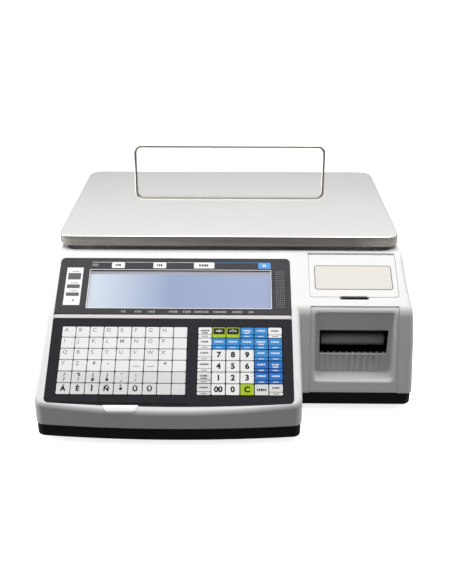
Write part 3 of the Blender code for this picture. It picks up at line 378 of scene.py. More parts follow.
def loft(rings, capped=True):
    """A skin over rings of points, closed by a face at each end, or round onto its first ring."""
    bm = bmesh.new()
    rows = [[bm.verts.new(p) for p in ring] for ring in rings]
    pairs = list(zip(rows, rows[1:]))
    if not capped:
        pairs.append((rows[-1], rows[0]))
    count = len(rows[0])
    for a, b in pairs:
        for i in range(count):
            j = (i + 1) % count
            bm.faces.new((a[i], a[j], b[j], b[i]))
    if capped:
        bm.faces.new(rows[0][::-1])
        bm.faces.new(rows[-1])
    return bm


def slab(outline, low, high, edge, steps=3):
    """A plate with its upper edge rounded."""
    rings = [level(outline, low)]
    for k in range(steps + 1):
        angle = math.pi / 2 * k / steps
        drawn = inset(outline, edge * (1 - math.cos(angle)))
        rings.append(level(drawn, high - edge + edge * math.sin(angle)))
    return loft(rings)


def ring_plate(outer, inner, low, high, edge, steps=3):
    """A plate with one opening, its outer and inner upper edges rounded."""
    rings = [level(outer, low)]
    turns = [(outer, 1, k) for k in range(steps + 1)] + [(inner, -1, k) for k in range(steps, -1, -1)]
    for outline, side, k in turns:
        angle = math.pi / 2 * k / steps
        drawn = inset(outline, side * edge * (1 - math.cos(angle)))
        rings.append(level(drawn, high - edge + edge * math.sin(angle)))
    rings.append(level(inner, low))
    return loft(rings, capped=False)


def bar(low, high, edge):
    """A box with its upper edges rounded; z is out of the panel."""
    outline = rounded_rectangle(low[:2], high[:2], edge, 3)
    return slab(outline, low[2], high[2], edge * 0.8, 2)


def turned(profile, centre, axis="X", sides=64, capped=True):
    """A solid of revolution; profile is (position along the axis, radius) from end to end."""
    place = {
        "X": lambda h, a, b: (h, centre[0] + a, centre[1] + b),
        "Z": lambda h, a, b: (centre[0] + a, centre[1] + b, h),
    }[axis]
    angles = [math.tau * k / sides for k in range(sides)]
    rings = [[place(h, r * math.cos(t), r * math.sin(t)) for t in angles] for h, r in profile]
    return loft(rings, capped)


def rod(low, high, radius, chamfer):
    """The profile of a plain round bar with chamfered ends."""
    end = radius - chamfer
    return [(low, end), (low + chamfer, radius), (high - chamfer, radius), (high, end)]


def glyphs(text, height, x, y, z, weight=0.0, align="CENTER"):
    """Raised characters of Blender's own font, standing on a panel at height z."""
    curve = bpy.data.curves.new("glyphs", "FONT")
    curve.body = text
    curve.size = height / 0.7  # a capital is 0.7 of the font's size
    curve.extrude = 0.04 * MM
    curve.offset = weight
    curve.align_x = align
    curve.align_y = "CENTER"
    curve.resolution_u = 4
    obj = bpy.data.objects.new("glyphs", curve)
    bpy.context.collection.objects.link(obj)
    graph = bpy.context.evaluated_depsgraph_get()
    mesh = bpy.data.meshes.new_from_object(obj.evaluated_get(graph))
    bm = bmesh.new()
    bm.from_mesh(mesh)
    bm.transform(Matrix.Translation((x, y, z)))
    bpy.data.objects.remove(obj)
    bpy.data.curves.remove(curve)
    bpy.data.meshes.remove(mesh)
    return bm


def dashes(x, y, z, width, height, count, colour):
    """A row of small marks that stands in for a printed word, as chunks of a piece."""
    pitch = width / count
    half = (height / 2, 0.04 * MM)
    chunks = []
    for k in range(count):
        left = x - width / 2 + k * pitch
        share = 0.62 + 0.18 * ((k * 7) % 3) / 2
        low, high = (left, y - half[0], z - half[1]), (left + pitch * share, y + half[0], z + half[1])
        chunks.append((bar(low, high, 0.1 * MM), colour))
    return chunks


def piece(name, chunks, body, replaces=(), angle=32, matrix=None):
    """Joins (bmesh, material) chunks, moved by a matrix, into one shown piece that rides on a body."""
    materials = []
    whole = bmesh.new()
    for bm, material in chunks:
        if material not in materials:
            materials.append(material)
        if matrix:
            bm.transform(matrix)
        bmesh.ops.recalc_face_normals(bm, faces=bm.faces)
        part = bpy.data.meshes.new("part")
        bm.to_mesh(part)
        bm.free()
        start = len(whole.faces)
        whole.from_mesh(part)
        whole.faces.ensure_lookup_table()
        for face in whole.faces[start:]:
            face.material_index = materials.index(material)
        bpy.data.meshes.remove(part)
    mesh = bpy.data.meshes.new(name)
    whole.to_mesh(mesh)
    whole.free()
    for material in materials:
        mesh.materials.append(material)
    obj = bpy.data.objects.new(name, mesh)
    bpy.context.collection.objects.link(obj)
    return shown(obj, body, replaces, angle)


def shown(obj, body, replaces=(), angle=32):
    """Shades a finished piece and hangs it on its body."""
    obj.data.shade_smooth()
    obj.data.set_sharp_from_angle(angle=math.radians(angle))
    weighted = obj.modifiers.new("weighted", "WEIGHTED_NORMAL")
    weighted.keep_sharp = True
    weighted.weight = 100
    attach(obj, body)
    if replaces:
        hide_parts(*replaces)
    return obj


def finished(obj, name, material, body, node):
    """Shows a solid from boolean work in place of a CAD node."""
    obj.name = name
    obj.data.materials.clear()
    obj.data.materials.append(material)
    shown(obj, body, (node,))


# --- solids for boolean work --------------------------------------------------------------------
def solid(bm):
    bmesh.ops.recalc_face_normals(bm, faces=bm.faces)
    mesh = bpy.data.meshes.new("solid")
    bm.to_mesh(mesh)
    bm.free()
    obj = bpy.data.objects.new("solid", mesh)
    bpy.context.collection.objects.link(obj)
    return obj


def taken(obj):
    """The mesh of a solid whose object is no longer needed."""
    bm = bmesh.new()
    bm.from_mesh(obj.data)
    bpy.data.objects.remove(obj)
    return bm


def prism(points, axis, low, high, matrix=None):
    """A closed outline extruded along X, Y or Z; its points are the other two coordinates in order."""
    place = {
        "X": lambda p, h: (h, p[0], p[1]),
        "Y": lambda p, h: (p[0], h, p[1]),
        "Z": lambda p, h: (p[0], p[1], h),
    }[axis]
    bm = loft([[place(p, h) for p in points] for h in (low, high)])
    if matrix:
        bm.transform(matrix)
    return solid(bm)


def box(low, high, matrix=None):
    outline = [(low[0], low[1]), (high[0], low[1]), (high[0], high[1]), (low[0], high[1])]
    return prism(outline, "Z", low[2], high[2], matrix)


def cylinder(centre, radius, low, high, axis="X", sides=48, matrix=None):
    angles = [math.tau / sides * i for i in range(sides)]
    ring = [(centre[0] + radius * math.cos(a), centre[1] + radius * math.sin(a)) for a in angles]
    return prism(ring, axis, low, high, matrix)


def boolean(target, cutter, operation):
    modifier = target.modifiers.new("boolean", "BOOLEAN")
    modifier.object = cutter
    modifier.operation = operation
    modifier.solver = "EXACT"
    bpy.context.view_layer.update()
    graph = bpy.context.evaluated_depsgraph_get()
    result = bpy.data.meshes.new_from_object(target.evaluated_get(graph))
    target.modifiers.clear()
    target.data = result
    bpy.data.objects.remove(cutter)
    return target


def cut(target, *cutters):
    for cutter in cutters:
        boolean(target, cutter, "DIFFERENCE")
    return target


def join(target, *others):
    for other in others:
        boolean(target, other, "UNION")
    return target


def round_edges(obj, width, segments, chosen):
    bm = bmesh.new()
    bm.from_mesh(obj.data)
    edges = [e for e in bm.edges if len(e.link_faces) == 2 and chosen(e)]
    bmesh.ops.bevel(
        bm, geom=edges, offset=width, segments=segments, profile=0.5, affect="EDGES",
        clamp_overlap=False,
    )
    bm.to_mesh(obj.data)
    bm.free()
    return obj


# --- housing ------------------------------------------------------------------------------------
def flare_x(y, x, end):
    """X of a side wall, which curves outwards from the deck's edge and is at its widest at end."""
    part_way = min(max((EDGE_Y - y) / (EDGE_Y - end), 0), 1)
    return x + math.copysign(FLARE, x) * part_way**2


def front_y(x):
    """Y of the bowed front wall at an x."""
    left = LEFT_X - FLARE
    middle, half = (left + STEP_X) / 2, (STEP_X - left) / 2
    return FRONT_Y + (CORNER_Y - FRONT_Y) * ((x - middle) / half) ** 2


def console_outline():
    """Plan of the operator's side of the housing, from rear left round to rear right."""
    steps = 12
    left = [(LEFT_X, REAR_Y, 12 * MM), (LEFT_X, EDGE_Y, 0)]
    for k in range(1, steps - 1):
        y = EDGE_Y + (CORNER_Y - EDGE_Y) * k / steps
        left.append((flare_x(y, LEFT_X, CORNER_Y), y, 0))
    left_corner = LEFT_X - FLARE
    across = [left_corner + (STEP_X - left_corner) * k / 24 for k in range(2, 23)]
    bow = [(x, front_y(x), 0) for x in across]
    front = [(left_corner, CORNER_Y, 10 * MM), *bow, (STEP_X, CORNER_Y, 9 * MM)]
    return rounded_outline([*left, *front, (STEP_X, REAR_Y, 0)], 10)


def printer_outline(front_y, front_radius):
    """Plan of the printer's side of the housing, overlapping the operator's side."""
    flare_end = -125 * MM
    inner = 40 * MM
    steps = 10
    right = []
    for k in range(steps, 0, -1):
        y = EDGE_Y + (flare_end - EDGE_Y) * k / steps
        right.append((flare_x(y, RIGHT_X, flare_end), y, 0))
    wide = RIGHT_X + FLARE
    corners = [(inner, REAR_Y, 0), (inner, front_y, 0), (wide, front_y, front_radius)]
    return rounded_outline([*corners, *right, (RIGHT_X, EDGE_Y, 0), (RIGHT_X, REAR_Y, 12 * MM)], 10)


def console_profile(bottom):
    """Side view of the operator's side, deck to lower end of the keypad slope."""
    drop = 0.05 * MM  # keeps its faces off the printer side's, which lie in the same planes
    reach = 130 * MM
    far = 30 * MM
    fold = (FOLD.y, FOLD.z - drop)
    low = (fold[0] - reach * math.cos(KEYPAD_SLOPE), fold[1] - reach * math.sin(KEYPAD_SLOPE))
    deck = CASE_TOP - drop
    return [(REAR_Y + far, bottom), (REAR_Y + far, deck), (EDGE_Y, deck), fold, low, (low[0], bottom)]


def shoulder():
    """Centre, start and end of the printer's rounded front, and its leaning face's direction."""
    slope = Vector((-math.cos(DISPLAY_SLOPE), -math.sin(DISPLAY_SLOPE)))
    face = Vector((-math.sin(FASCIA_LEAN), -math.cos(FASCIA_LEAN)))
    corner = Vector((EDGE_Y, CASE_TOP)) + LID_RUN * slope
    turn = slope.angle(face)
    start = corner - slope * SHOULDER_RADIUS * math.tan(turn / 2)
    centre = start + SHOULDER_RADIUS * Vector((-slope.y, slope.x))
    end = centre + Matrix.Rotation(turn, 2) @ (start - centre)
    return centre, start, end, face, turn


def printer_profile(bottom):
    """Side view of the printer's side: deck, lid slope, rounded shoulder and leaning face."""
    centre, start, end, face, turn = shoulder()
    steps = 16
    arc = [centre + Matrix.Rotation(turn * k / steps, 2) @ (start - centre) for k in range(steps + 1)]
    foot = end + face * ((end.y - bottom) / -face.y)
    far = 30 * MM
    back = [(REAR_Y + far, bottom), (REAR_Y + far, CASE_TOP), (EDGE_Y, CASE_TOP)]
    return [*back, *arc, foot]


def block(profile, outline, rounding, bottom):
    """The solid that a side view and a plan have in common, its sharp edges above bottom rounded."""
    shape = prism(profile, "X", -250 * MM, 250 * MM)
    boolean(shape, prism(outline, "Z", -20 * MM, 300 * MM), "INTERSECT")
    limit = math.radians(50)

    def sharp_and_high(edge):
        high = max(v.co.z for v in edge.verts) > bottom + 0.5 * MM
        return high and edge.calc_face_angle_signed(0) > limit

    if rounding:
        round_edges(shape, rounding, 6, sharp_and_high)
    return shape


def housing(off, bottom, console_rounding, printer_rounding):
    """The housing's outer shape, moved inwards by off."""
    outline = inset(console_outline(), off)
    console = block(inset(console_profile(bottom), off), outline, console_rounding, bottom)
    outline = inset(printer_outline(-150 * MM, 0), off)
    return join(console, block(inset(printer_profile(bottom), off), outline, printer_rounding, bottom))


def fascia_opening(top_run, back_y, x_range):
    """The space of the cassette's front, bounded above by a plane square to the lid's slope."""
    along = Vector((-math.cos(DISPLAY_SLOPE), -math.sin(DISPLAY_SLOPE)))
    out = Vector((along.y, -along.x))
    on_slope = Vector((EDGE_Y, CASE_TOP)) + along * top_run
    above = on_slope + out * 12 * MM
    below = on_slope + out * ((back_y - on_slope.x) / out.x)
    front = -170 * MM
    outline = [above, below, (back_y, 15 * MM), (front, 15 * MM), (front, above.y)]
    return prism(outline, "X", *x_range)


def keypad_outline(gap):
    """Outline of the sunken keypad field; its lower edge is bowed."""
    low_side, low_middle = -101.8 * MM, -106.2 * MM
    middle = sum(PANEL_X) / 2
    half = (PANEL_X[1] - PANEL_X[0]) / 2
    bow = []
    for k in range(1, 12):
        x = PANEL_X[0] + 2 * half * k / 12
        bow.append((x, low_middle + (low_side - low_middle) * ((x - middle) / half) ** 2, 0))
    upper = 3 * MM
    corners = [
        (PANEL_X[0], upper, 0),
        (PANEL_X[0], low_side, 5 * MM),
        *bow,
        (PANEL_X[1], low_side, 5 * MM),
        (PANEL_X[1], upper, 0),
    ]
    return inset(rounded_outline(corners), gap)


def case_shell():
    """The white case: hollow, with its sunken deck, panel fields, lid bay and openings cut out."""
    case = housing(0, CASE_LOW.z, RIM_RADIUS, 6 * MM)
    cut(case, housing(WALL, 5 * MM, 0, 0))
    tray, thickness = rounded_rectangle(mm(-185, -47), mm(181, 204), 12 * MM), 2.5 * MM
    join(case, prism(inset(tray, -thickness), "Z", DECK_Z - thickness, CASE_TOP - 1 * MM))
    post_xy, post_hole, level_hole = mm(-2.25, 78.75), 24 * MM, 8.3 * MM
    through = mm(120, 160)
    cut(
        case,
        prism(tray, "Z", DECK_Z, 200 * MM),
        cylinder(post_xy, post_hole, *through, "Z"),
        cylinder(LEVEL_XY, level_hole, *through, "Z"),
    )
    sunk = 1.8 * MM
    left, right = PANEL_X
    top = 74.5 * MM
    low, corner = -2 * MM, 5 * MM
    upper = rounded_outline([(left, low, 0), (right, low, 0), (right, top, corner), (left, top, corner)])
    cut(
        case,
        prism(upper, "Z", -sunk, 12 * MM, DISPLAY_FRAME),
        prism(keypad_outline(0), "Z", -sunk, 12 * MM, KEYPAD_FRAME),
        box(mm(-158, 4.6, -8), mm(48, 62.3, 2), DISPLAY_FRAME),  # behind the screen
        box(mm(-180, -98, -8), mm(60, -10, 2), KEYPAD_FRAME),  # behind the keys
    )
    for low, high in ((80.5, 86.2), (182.7, 188.4)):  # the lid's hinge ears
        join(case, box(mm(low, 74.5, -9), mm(high, 83.5, -1.5), DISPLAY_FRAME))
    lid_low, lid_high = LID_X[0] - GAP, LID_X[1] + GAP
    front, rear, corner = mm(23, 81.8, 3.2)
    bay = [(lid_low, front, corner), (lid_high, front, corner), (lid_high, rear, 0), (lid_low, rear, 0)]
    notch = [mm(113.5, 30, 0), mm(119.5, 20.2, 1.2), mm(149, 20.2, 1.2), mm(155, 30, 0)]
    swing = [mm(78, -2.5), mm(81.8, -2.5), mm(83.5, 1.5), mm(78, 1.5)]
    cut(
        case,
        prism(rounded_outline(bay), "Z", -12 * MM, 10 * MM, DISPLAY_FRAME),
        prism(swing, "X", lid_low, lid_high, DISPLAY_FRAME),
        prism(rounded_outline(notch), "Z", -8 * MM, 4 * MM, DISPLAY_FRAME),
        cylinder(LID_AXIS, 1.5 * MM, 82.2 * MM, 186.7 * MM, "X", 24, DISPLAY_FRAME),
        fascia_opening(71.2 * MM, -104 * MM, CASSETTE_X),
    )
    for (x0, z0), (x1, z1) in (REAR_WINDOW, PORTS, INLET):
        low, high = (x0 - GAP, z0 - GAP), (x1 + GAP, z1 + GAP)
        cut(case, prism(rounded_rectangle(low, high, 0.6 * MM, 3), "Y", REAR_Y - 8 * MM, REAR_Y + 5 * MM))
    finished(case, "case_shell", WHITE, "housing", "top_case")


def base_shell():
    """The black tray under the case, with two walls that guide the cassette, and bosses for the feet."""
    def plan(gap, low, high):
        console = prism(inset(console_outline(), gap), "Z", low, high)
        return join(console, prism(inset(printer_outline(-144.7 * MM, 10 * MM), gap), "Z", low, high))

    bottom, top = BASE_LOW.z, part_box("top_case")[0].z - GAP
    tray = plan(1 * MM, bottom, top)

    def lower_rim(edge):
        return all(v.co.z < bottom + 0.1 * MM for v in edge.verts) and edge.calc_face_angle(0) > 1

    round_edges(tray, 2.5 * MM, 5, lower_rim)
    cut(tray, plan(4 * MM, 8.5 * MM, 40 * MM))
    for low in (95, 168):
        join(tray, box((low * MM, -105 * MM, 7 * MM), ((low + 4) * MM, 38 * MM, BASE_HIGH.z)))
    for x, y in FEET_XY:
        join(tray, cylinder((x, y), 8 * MM, 7 * MM, 17 * MM, "Z", 32))
        cut(tray, cylinder((x, y), 3.3 * MM, 0, 15 * MM, "Z", 32))
    finished(tray, "base_shell", BLACK, "housing", "base_tray")


def centre_of(node):
    low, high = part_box(node)
    return (low + high) / 2


FOOT_NODES = {
    "foot_front_left": "front_left_foot",
    "foot_front_right": "front_right_foot",
    "foot_rear_right": "rear_right_foot",
    "foot_rear_left": "rear_left_foot",
}
FEET_XY = [centre_of(node)[:2] for node in FOOT_NODES]


def levelling_feet():
    """Ribbed rubber pads on threaded studs."""
    for node, body in FOOT_NODES.items():
        low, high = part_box(node)
        xy = centre_of(node)[:2]
        radius = (high.x - low.x) / 2
        pad_top = BASE_LOW.z - GAP
        groove, end = radius - 0.5 * MM, radius - 1 * MM
        pad = [(0, end), (0.8 * MM, radius), (2.2 * MM, radius), (2.6 * MM, groove)]
        pad += [(3.4 * MM, groove), (3.8 * MM, radius), (pad_top - 0.8 * MM, radius), (pad_top, end)]
        stud = [mm(2, 2.4)]
        pitch = 1 * MM
        z = pad_top - 0.5 * MM
        while z < high.z - pitch:
            stud += [(z, 2.6 * MM), (z + pitch / 2, 3 * MM)]
            z += pitch
        stud.append((high.z, 2.5 * MM))
        chunks = [(turned(pad, xy, "Z"), RUBBER), (turned(stud, xy, "Z", 32), ZINC)]
        piece("levelling_" + node, chunks, body, (node,))


# --- display and keys ---------------------------------------------------------------------------
def display_overlay():
    """The printed grey panel round the screen, with its tabs, capacity plate and sound holes."""
    left, right = PANEL_X[0] + GAP, PANEL_X[1] - GAP
    top, bottom = 74.2 * MM, 0.6 * MM
    tiny, broad = 0.2 * MM, 5 * MM
    corners = [(left, bottom, tiny), (right, bottom, tiny), (right, top, broad), (left, top, broad)]
    inner = rounded_rectangle(*SCREEN, 0.8 * MM)
    face = -0.5 * MM
    chunks = [(ring_plate(rounded_outline(corners), inner, -1.5 * MM, face, 0.15 * MM), PANEL)]
    line = 0.7 * MM
    (x0, y0), (x1, y1) = SCREEN
    around = rounded_rectangle((x0 - line, y0 - line), (x1 + line, y1 + line), 1.2 * MM)
    chunks.append((ring_plate(around, inner, face - 0.05 * MM, face + 0.05 * MM, 0.04 * MM, 1), WHITE_INK))
    chunks += panel_print(face) + sound_holes(face)
    piece("display_overlay", chunks, "housing", ("display_panel",), matrix=DISPLAY_FRAME)


def panel_print(face):
    """What is printed on the display panel: tabs with their lines, words, and the capacity plate."""
    low, high = face - 0.05 * MM, face + 0.05 * MM
    word_z = high + 0.02 * MM
    chunks = []

    def field(x0, y0, x1, y1, colour, corner=0.15):
        outline = rounded_rectangle(mm(x0, y0), mm(x1, y1), corner * MM, 3)
        chunks.append((slab(outline, low, high, 0.04 * MM, 1), colour))

    def words(x, y, width, height, count, colour):
        chunks.extend(dashes(x * MM, y * MM, word_z, width * MM, height * MM, count, colour))

    tabs = (
        (-131.1, -116.8, WHITE_INK), (-85.2, -70.9, WHITE_INK), (-40.3, -17.7, WHITE_INK),
        (30.9, 44.6, BLUE_INK),
    )
    for x0, x1, colour in tabs:
        field(x0, 61.1, x1, 69.3, colour, 1.0)
    lines = ((-153, -131, WHITE_INK), (-116, -85, WHITE_INK), (-70, -40, WHITE_INK), (-17, 31, BLUE_INK))
    for x0, x1, colour in lines:
        field(x0, 68.8, x1, 69.3, colour)
    for x, width, count in ((-124, 6, 3), (-78, 6, 3), (-29, 11, 4)):
        words(x, 65.2, width, 3, count, DARK_INK)
    words(37.7, 65.2, 4, 3, 2, WHITE_INK)
    words(-149.5, 65.2, 6.5, 3.6, 3, PALE_INK)
    foot_words = (
        (-113.5, 5, 2), (-98, 7, 3), (-83.5, 7.5, 3), (-60, 10, 4), (-45.5, 9, 4), (-30, 16, 7),
        (-10.5, 14, 6), (8, 11, 5), (23, 5.5, 2),
    )
    for x, width, count in foot_words:
        words(x, 3.6, width, 2.6, count, PALE_INK)

    field(-180, 11.5, -162, 61.5, WHITE_INK, 0.4)
    for y0, y1 in ((45.2, 53.9), (33.7, 38.6), (23.4, 27.9)):
        outline = rounded_rectangle(mm(-178, y0), mm(-164, y1), 0.2 * MM, 2)
        chunks.append((slab(outline, high - 0.02 * MM, word_z, 0.02 * MM, 1), GREY_INK))
        words(-170, y1 + 2.2, 8, 1.5, 4, PALE_INK)
    words(-169, 17.7, 3, 2, 1, GREY_INK)
    return chunks


def sound_holes(face):
    """A grid of dots beside the screen."""
    columns, rows = 5, 17
    dot = [(face - 0.1 * MM, 0.55 * MM), (face + 0.05 * MM, 0.5 * MM), (face + 0.12 * MM, 0.25 * MM)]
    centres = [mm(50.3 + 2.05 * i, 10.2 + 2.9 * j) for i in range(columns) for j in range(rows)]
    return [(turned(dot, centre, "Z", 10), PALE_INK) for centre in centres]


def display_screen():
    """The lit screen, with a painted shadow along its upper edge, where the panel's edge shades it."""
    outline = rounded_rectangle(mm(-157, 5.6), mm(47, 61.3), 1 * MM)
    (x0, _), (x1, y1) = SCREEN
    shade = rounded_rectangle((x0, y1 - 5 * MM), (x1, y1), 0.3 * MM, 3)
    chunks = [
        (slab(outline, -3.3 * MM, -1.9 * MM, 0.1 * MM, 1), SCREEN_GLOW),
        # Painted shadow: a grey strip on the glass's upper edge, for the shade that the panel's edge casts.
        (slab(shade, -2.1 * MM, -1.85 * MM, 0.1 * MM, 1), SCREEN_PAINTED_SHADOW),
    ]
    piece("display_screen", chunks, "housing", ("display_window",), matrix=DISPLAY_FRAME)


def trim():
    """The satin strip between the display and the keypad."""
    low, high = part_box("trim_strip")
    outline = rounded_rectangle((low.x, -5.6 * MM), (high.x, -0.8 * MM), 0.8 * MM, 4)
    strip = slab(outline, -1.5 * MM, 0.25 * MM, 0.7 * MM, 5)
    piece("trim_bar", [(strip, SILVER)], "housing", ("trim_strip",), matrix=KEYPAD_FRAME)


def keypad_field():
    """The dark overlay round both key blocks, with the slit that the key sheet slides into."""
    plate = prism(keypad_outline(GAP), "Z", -1.5 * MM, -0.5 * MM)
    upper = KEY_TOP_Y + 0.5 * MM
    lower = KEY_TOP_Y - 6 * KEY_PITCH[1] - 0.5 * MM
    cut(plate, box(mm(-200, -6, -5), mm(100, 10, 5)))
    for start, columns in ((LETTER_X, 9), (COMMAND_X, 6)):
        end = start + columns * KEY_PITCH[0]
        outline = rounded_rectangle((start - 0.4 * MM, lower), (end + 0.4 * MM, upper), 0.8 * MM, 3)
        cut(plate, prism(outline, "Z", -5 * MM, 5 * MM))
    slit = [mm(-177.7, -101.0), mm(-41, -102.6), mm(-41, -112), mm(-177.7, -112)]
    cut(plate, prism(slit, "Z", -1.1 * MM, 5 * MM))
    plate.data.transform(KEYPAD_FRAME)
    finished(plate, "keypad_field", FIELD, "housing", "keypad_overlay")


def key_spot(first_x, column, row):
    return first_x + (column + 0.5) * KEY_PITCH[0], KEY_TOP_Y - (row + 0.5) * KEY_PITCH[1]


def cap(x, y, width, height, material):
    """A key's embossed film: a flat face that rolls down at its edges."""
    low, high = (x - width / 2, y - height / 2), (x + width / 2, y + height / 2)
    return slab(rounded_rectangle(low, high, 0.9 * MM, 4), -2.9 * MM, KEY_FACE, 0.35 * MM), material


def plain_cap(x, y, material):
    return cap(x, y, *KEY_SIZE, material)


def carrier(first_x, columns, missing):
    """The sheet that a block's keys stand on, left open under keys that travel by themselves."""
    low, high = -3.6 * MM, -2.7 * MM
    left, top = first_x - 0.8 * MM, KEY_TOP_Y + 0.8 * MM
    size = (columns * KEY_PITCH[0] + 1.6 * MM, 6 * KEY_PITCH[1] + 1.6 * MM)
    sheet = box((left, top - size[1], low), (left + size[0], top, high))
    for column, row in missing:
        x, y = key_spot(first_x, column, row)
        half = (KEY_SIZE[0] / 2 + 0.15 * MM, KEY_SIZE[1] / 2 + 0.15 * MM)
        cut(sheet, box((x - half[0], y - half[1], -5 * MM), (x + half[0], y + half[1], 0)))
    return taken(sheet), KEY_BLACK


LETTER_ROWS = ("ABCDEFGH ", "IJKLMNOP ", "QRSTUVWX ", "YZ$-   < ", "/%()':   ", "ÁÈÌÑÒÙÜ  ")
LOWER_MARKS = {2: "#", 0: "?", 1: "!", 3: "&", 4: ",", 5: ";"}


def letter_block():
    """The block of letter keys: letters in the upper rows, signs and accented letters below."""
    chunks = [carrier(LETTER_X, 9, ())]
    ink_z = KEY_FACE + 0.03 * MM
    for row, letters in enumerate(LETTER_ROWS):
        for column, letter in enumerate(letters):
            x, y = key_spot(LETTER_X, column, row)
            chunks.append(plain_cap(x, y, KEY_WHITE if row < 4 else KEY_GREY))
            if letter == " ":
                continue
            if row < 3 or letter in "YZ":
                corner = (x - 4.6 * MM, y + 2.2 * MM)
                chunks.append((glyphs(letter, 4.4 * MM, *corner, ink_z, 0.08 * MM, "LEFT"), PALE_INK))
            elif row == 5:
                chunks.append((glyphs(letter, 5.2 * MM, x, y, ink_z, 0.34 * MM), DARK_INK))
            else:
                chunks.append((glyphs(letter, 3.5 * MM, x, y + 2.6 * MM, ink_z, 0.2 * MM), DARK_INK))
                if row == 4:
                    lower = glyphs(LOWER_MARKS[column], 3.5 * MM, x, y - 2.6 * MM, ink_z, 0.2 * MM)
                    chunks.append((lower, DARK_INK))
    for column in (5, 6):  # space bars' sign
        x, y = key_spot(LETTER_X, column, 3)
        low = (x - 3.5 * MM, y - 0.8 * MM, ink_z - 0.04 * MM)
        high = (x + 3.5 * MM, y - 0.2 * MM, ink_z + 0.04 * MM)
        chunks.append((bar(low, high, 0.1 * MM), GREY_INK))
    piece("letter_block", chunks, "housing", ("letter_keys",), matrix=KEYPAD_FRAME)


def function_keys():
    """The material of each key that isn't a number, a sign or a print key, by (column, row)."""
    keys = {(0, row): KEY_WHITE if row < 4 else KEY_GREY for row in range(6)}
    keys.update({(5, 0): KEY_WHITE, (5, 5): KEY_GREY, (3, 0): KEY_BLUE, (4, 0): KEY_BLUE})
    keys.update({(column, 1): KEY_BLUE for column in range(1, 6)})
    keys.update({(column, row): KEY_BLUE if row < 3 else KEY_DEEP for row in (2, 3, 4) for column in (4, 5)})
    return dict(sorted(keys.items(), key=lambda key: key[0][::-1]))


NUMBER_KEYS = {
    "key_7": ("number_7", "7", 1, 2), "key_8": ("number_8", "8", 2, 2), "key_9": ("number_9", "9", 3, 2),
    "key_4": ("number_4", "4", 1, 3), "key_5": ("number_5", "5", 2, 3), "key_6": ("number_6", "6", 3, 3),
    "key_1": ("number_1", "1", 1, 4), "key_2": ("number_2", "2", 2, 4), "key_3": ("number_3", "3", 3, 4),
    "key_00": ("double_zero", "00", 1, 5), "key_0": ("number_0", "0", 2, 5),
    "key_clear": ("clear", "C", 3, 5), "key_print": ("print", "", 4, 5),
}


def function_cap(x, y, material):
    """A key with a narrow second field at its foot, and marks in place of its words."""
    white = material in (KEY_WHITE, KEY_GREY)
    colour = DARK_INK if white else WHITE_INK
    width, height = KEY_SIZE
    foot = 3.4 * MM
    line = 0.45 * MM
    upper = cap(x, y + (foot + line) / 2, width, height - foot - line, material)
    lower = cap(x, y - (height - foot) / 2, width, foot, material)
    ink_z = KEY_FACE + 0.03 * MM
    seed = round((x - y) / MM)
    count = 4 + seed % 3
    chunks = [upper, lower]
    chunks += dashes(x, y + 2.2 * MM, ink_z, (5 + 0.7 * count) * MM, 1.8 * MM, count, colour)
    if seed % 4 == 0:
        chunks += dashes(x, y - 0.6 * MM, ink_z, 6.5 * MM, 1.5 * MM, 4, colour)
    small = GREY_INK if white else WHITE_INK
    return chunks + dashes(x, y - (height - foot) / 2, ink_z, 6 * MM, 1.1 * MM, 5, small)


def bordered_cap(x, y, sign):
    """A black key inside a lime border that is broad at its foot."""
    width, height = KEY_SIZE
    reach = width / 2 - 0.9 * MM
    low, high = (x - reach, y - 2.1 * MM), (x + reach, y + height / 2 - 1 * MM)
    ink_z = KEY_FACE + 0.06 * MM
    field = slab(rounded_rectangle(low, high, 0.4 * MM, 3), KEY_FACE - 0.1 * MM, ink_z, 0.04 * MM, 1)
    mark = glyphs(sign, 3 * MM, x, y + 1.6 * MM, ink_z + 0.02 * MM, 0.1 * MM)
    return [cap(x, y, width, height, KEY_LIME), (field, KEY_BLACK), (mark, WHITE_INK)]


def command_block():
    """The right-hand key block, except for the keys that press singly."""
    missing = [(column, row) for _, _, column, row in NUMBER_KEYS.values()]
    chunks = [carrier(COMMAND_X, 6, missing)]
    for (column, row), material in function_keys().items():
        chunks += function_cap(*key_spot(COMMAND_X, column, row), material)
    for column, sign in ((1, ">0<"), (2, ">T<")):
        chunks += bordered_cap(*key_spot(COMMAND_X, column, 0), sign)
    piece("command_block", chunks, "housing", ("command_keys",), matrix=KEYPAD_FRAME)


def number_pad():
    """The single keys, each on its own body."""
    ink_z = KEY_FACE + 0.03 * MM
    for node, (body, digits, column, row) in NUMBER_KEYS.items():
        x, y = key_spot(COMMAND_X, column, row)
        material = {"C": KEY_LIME, "": KEY_GREY}.get(digits, KEY_WHITE)
        chunks = [cap(x, y, KEY_SIZE[0] - 0.15 * MM, KEY_SIZE[1] - 0.15 * MM, material)]
        if digits:
            chunks.append((glyphs(digits, 6 * MM, x, y, ink_z, 0.38 * MM), DARK_INK))
        else:
            chunks += dashes(x, y, ink_z, 10 * MM, 2.6 * MM, 5, DARK_INK)
        piece(node + "_cap", chunks, body, (node,), matrix=KEYPAD_FRAME)


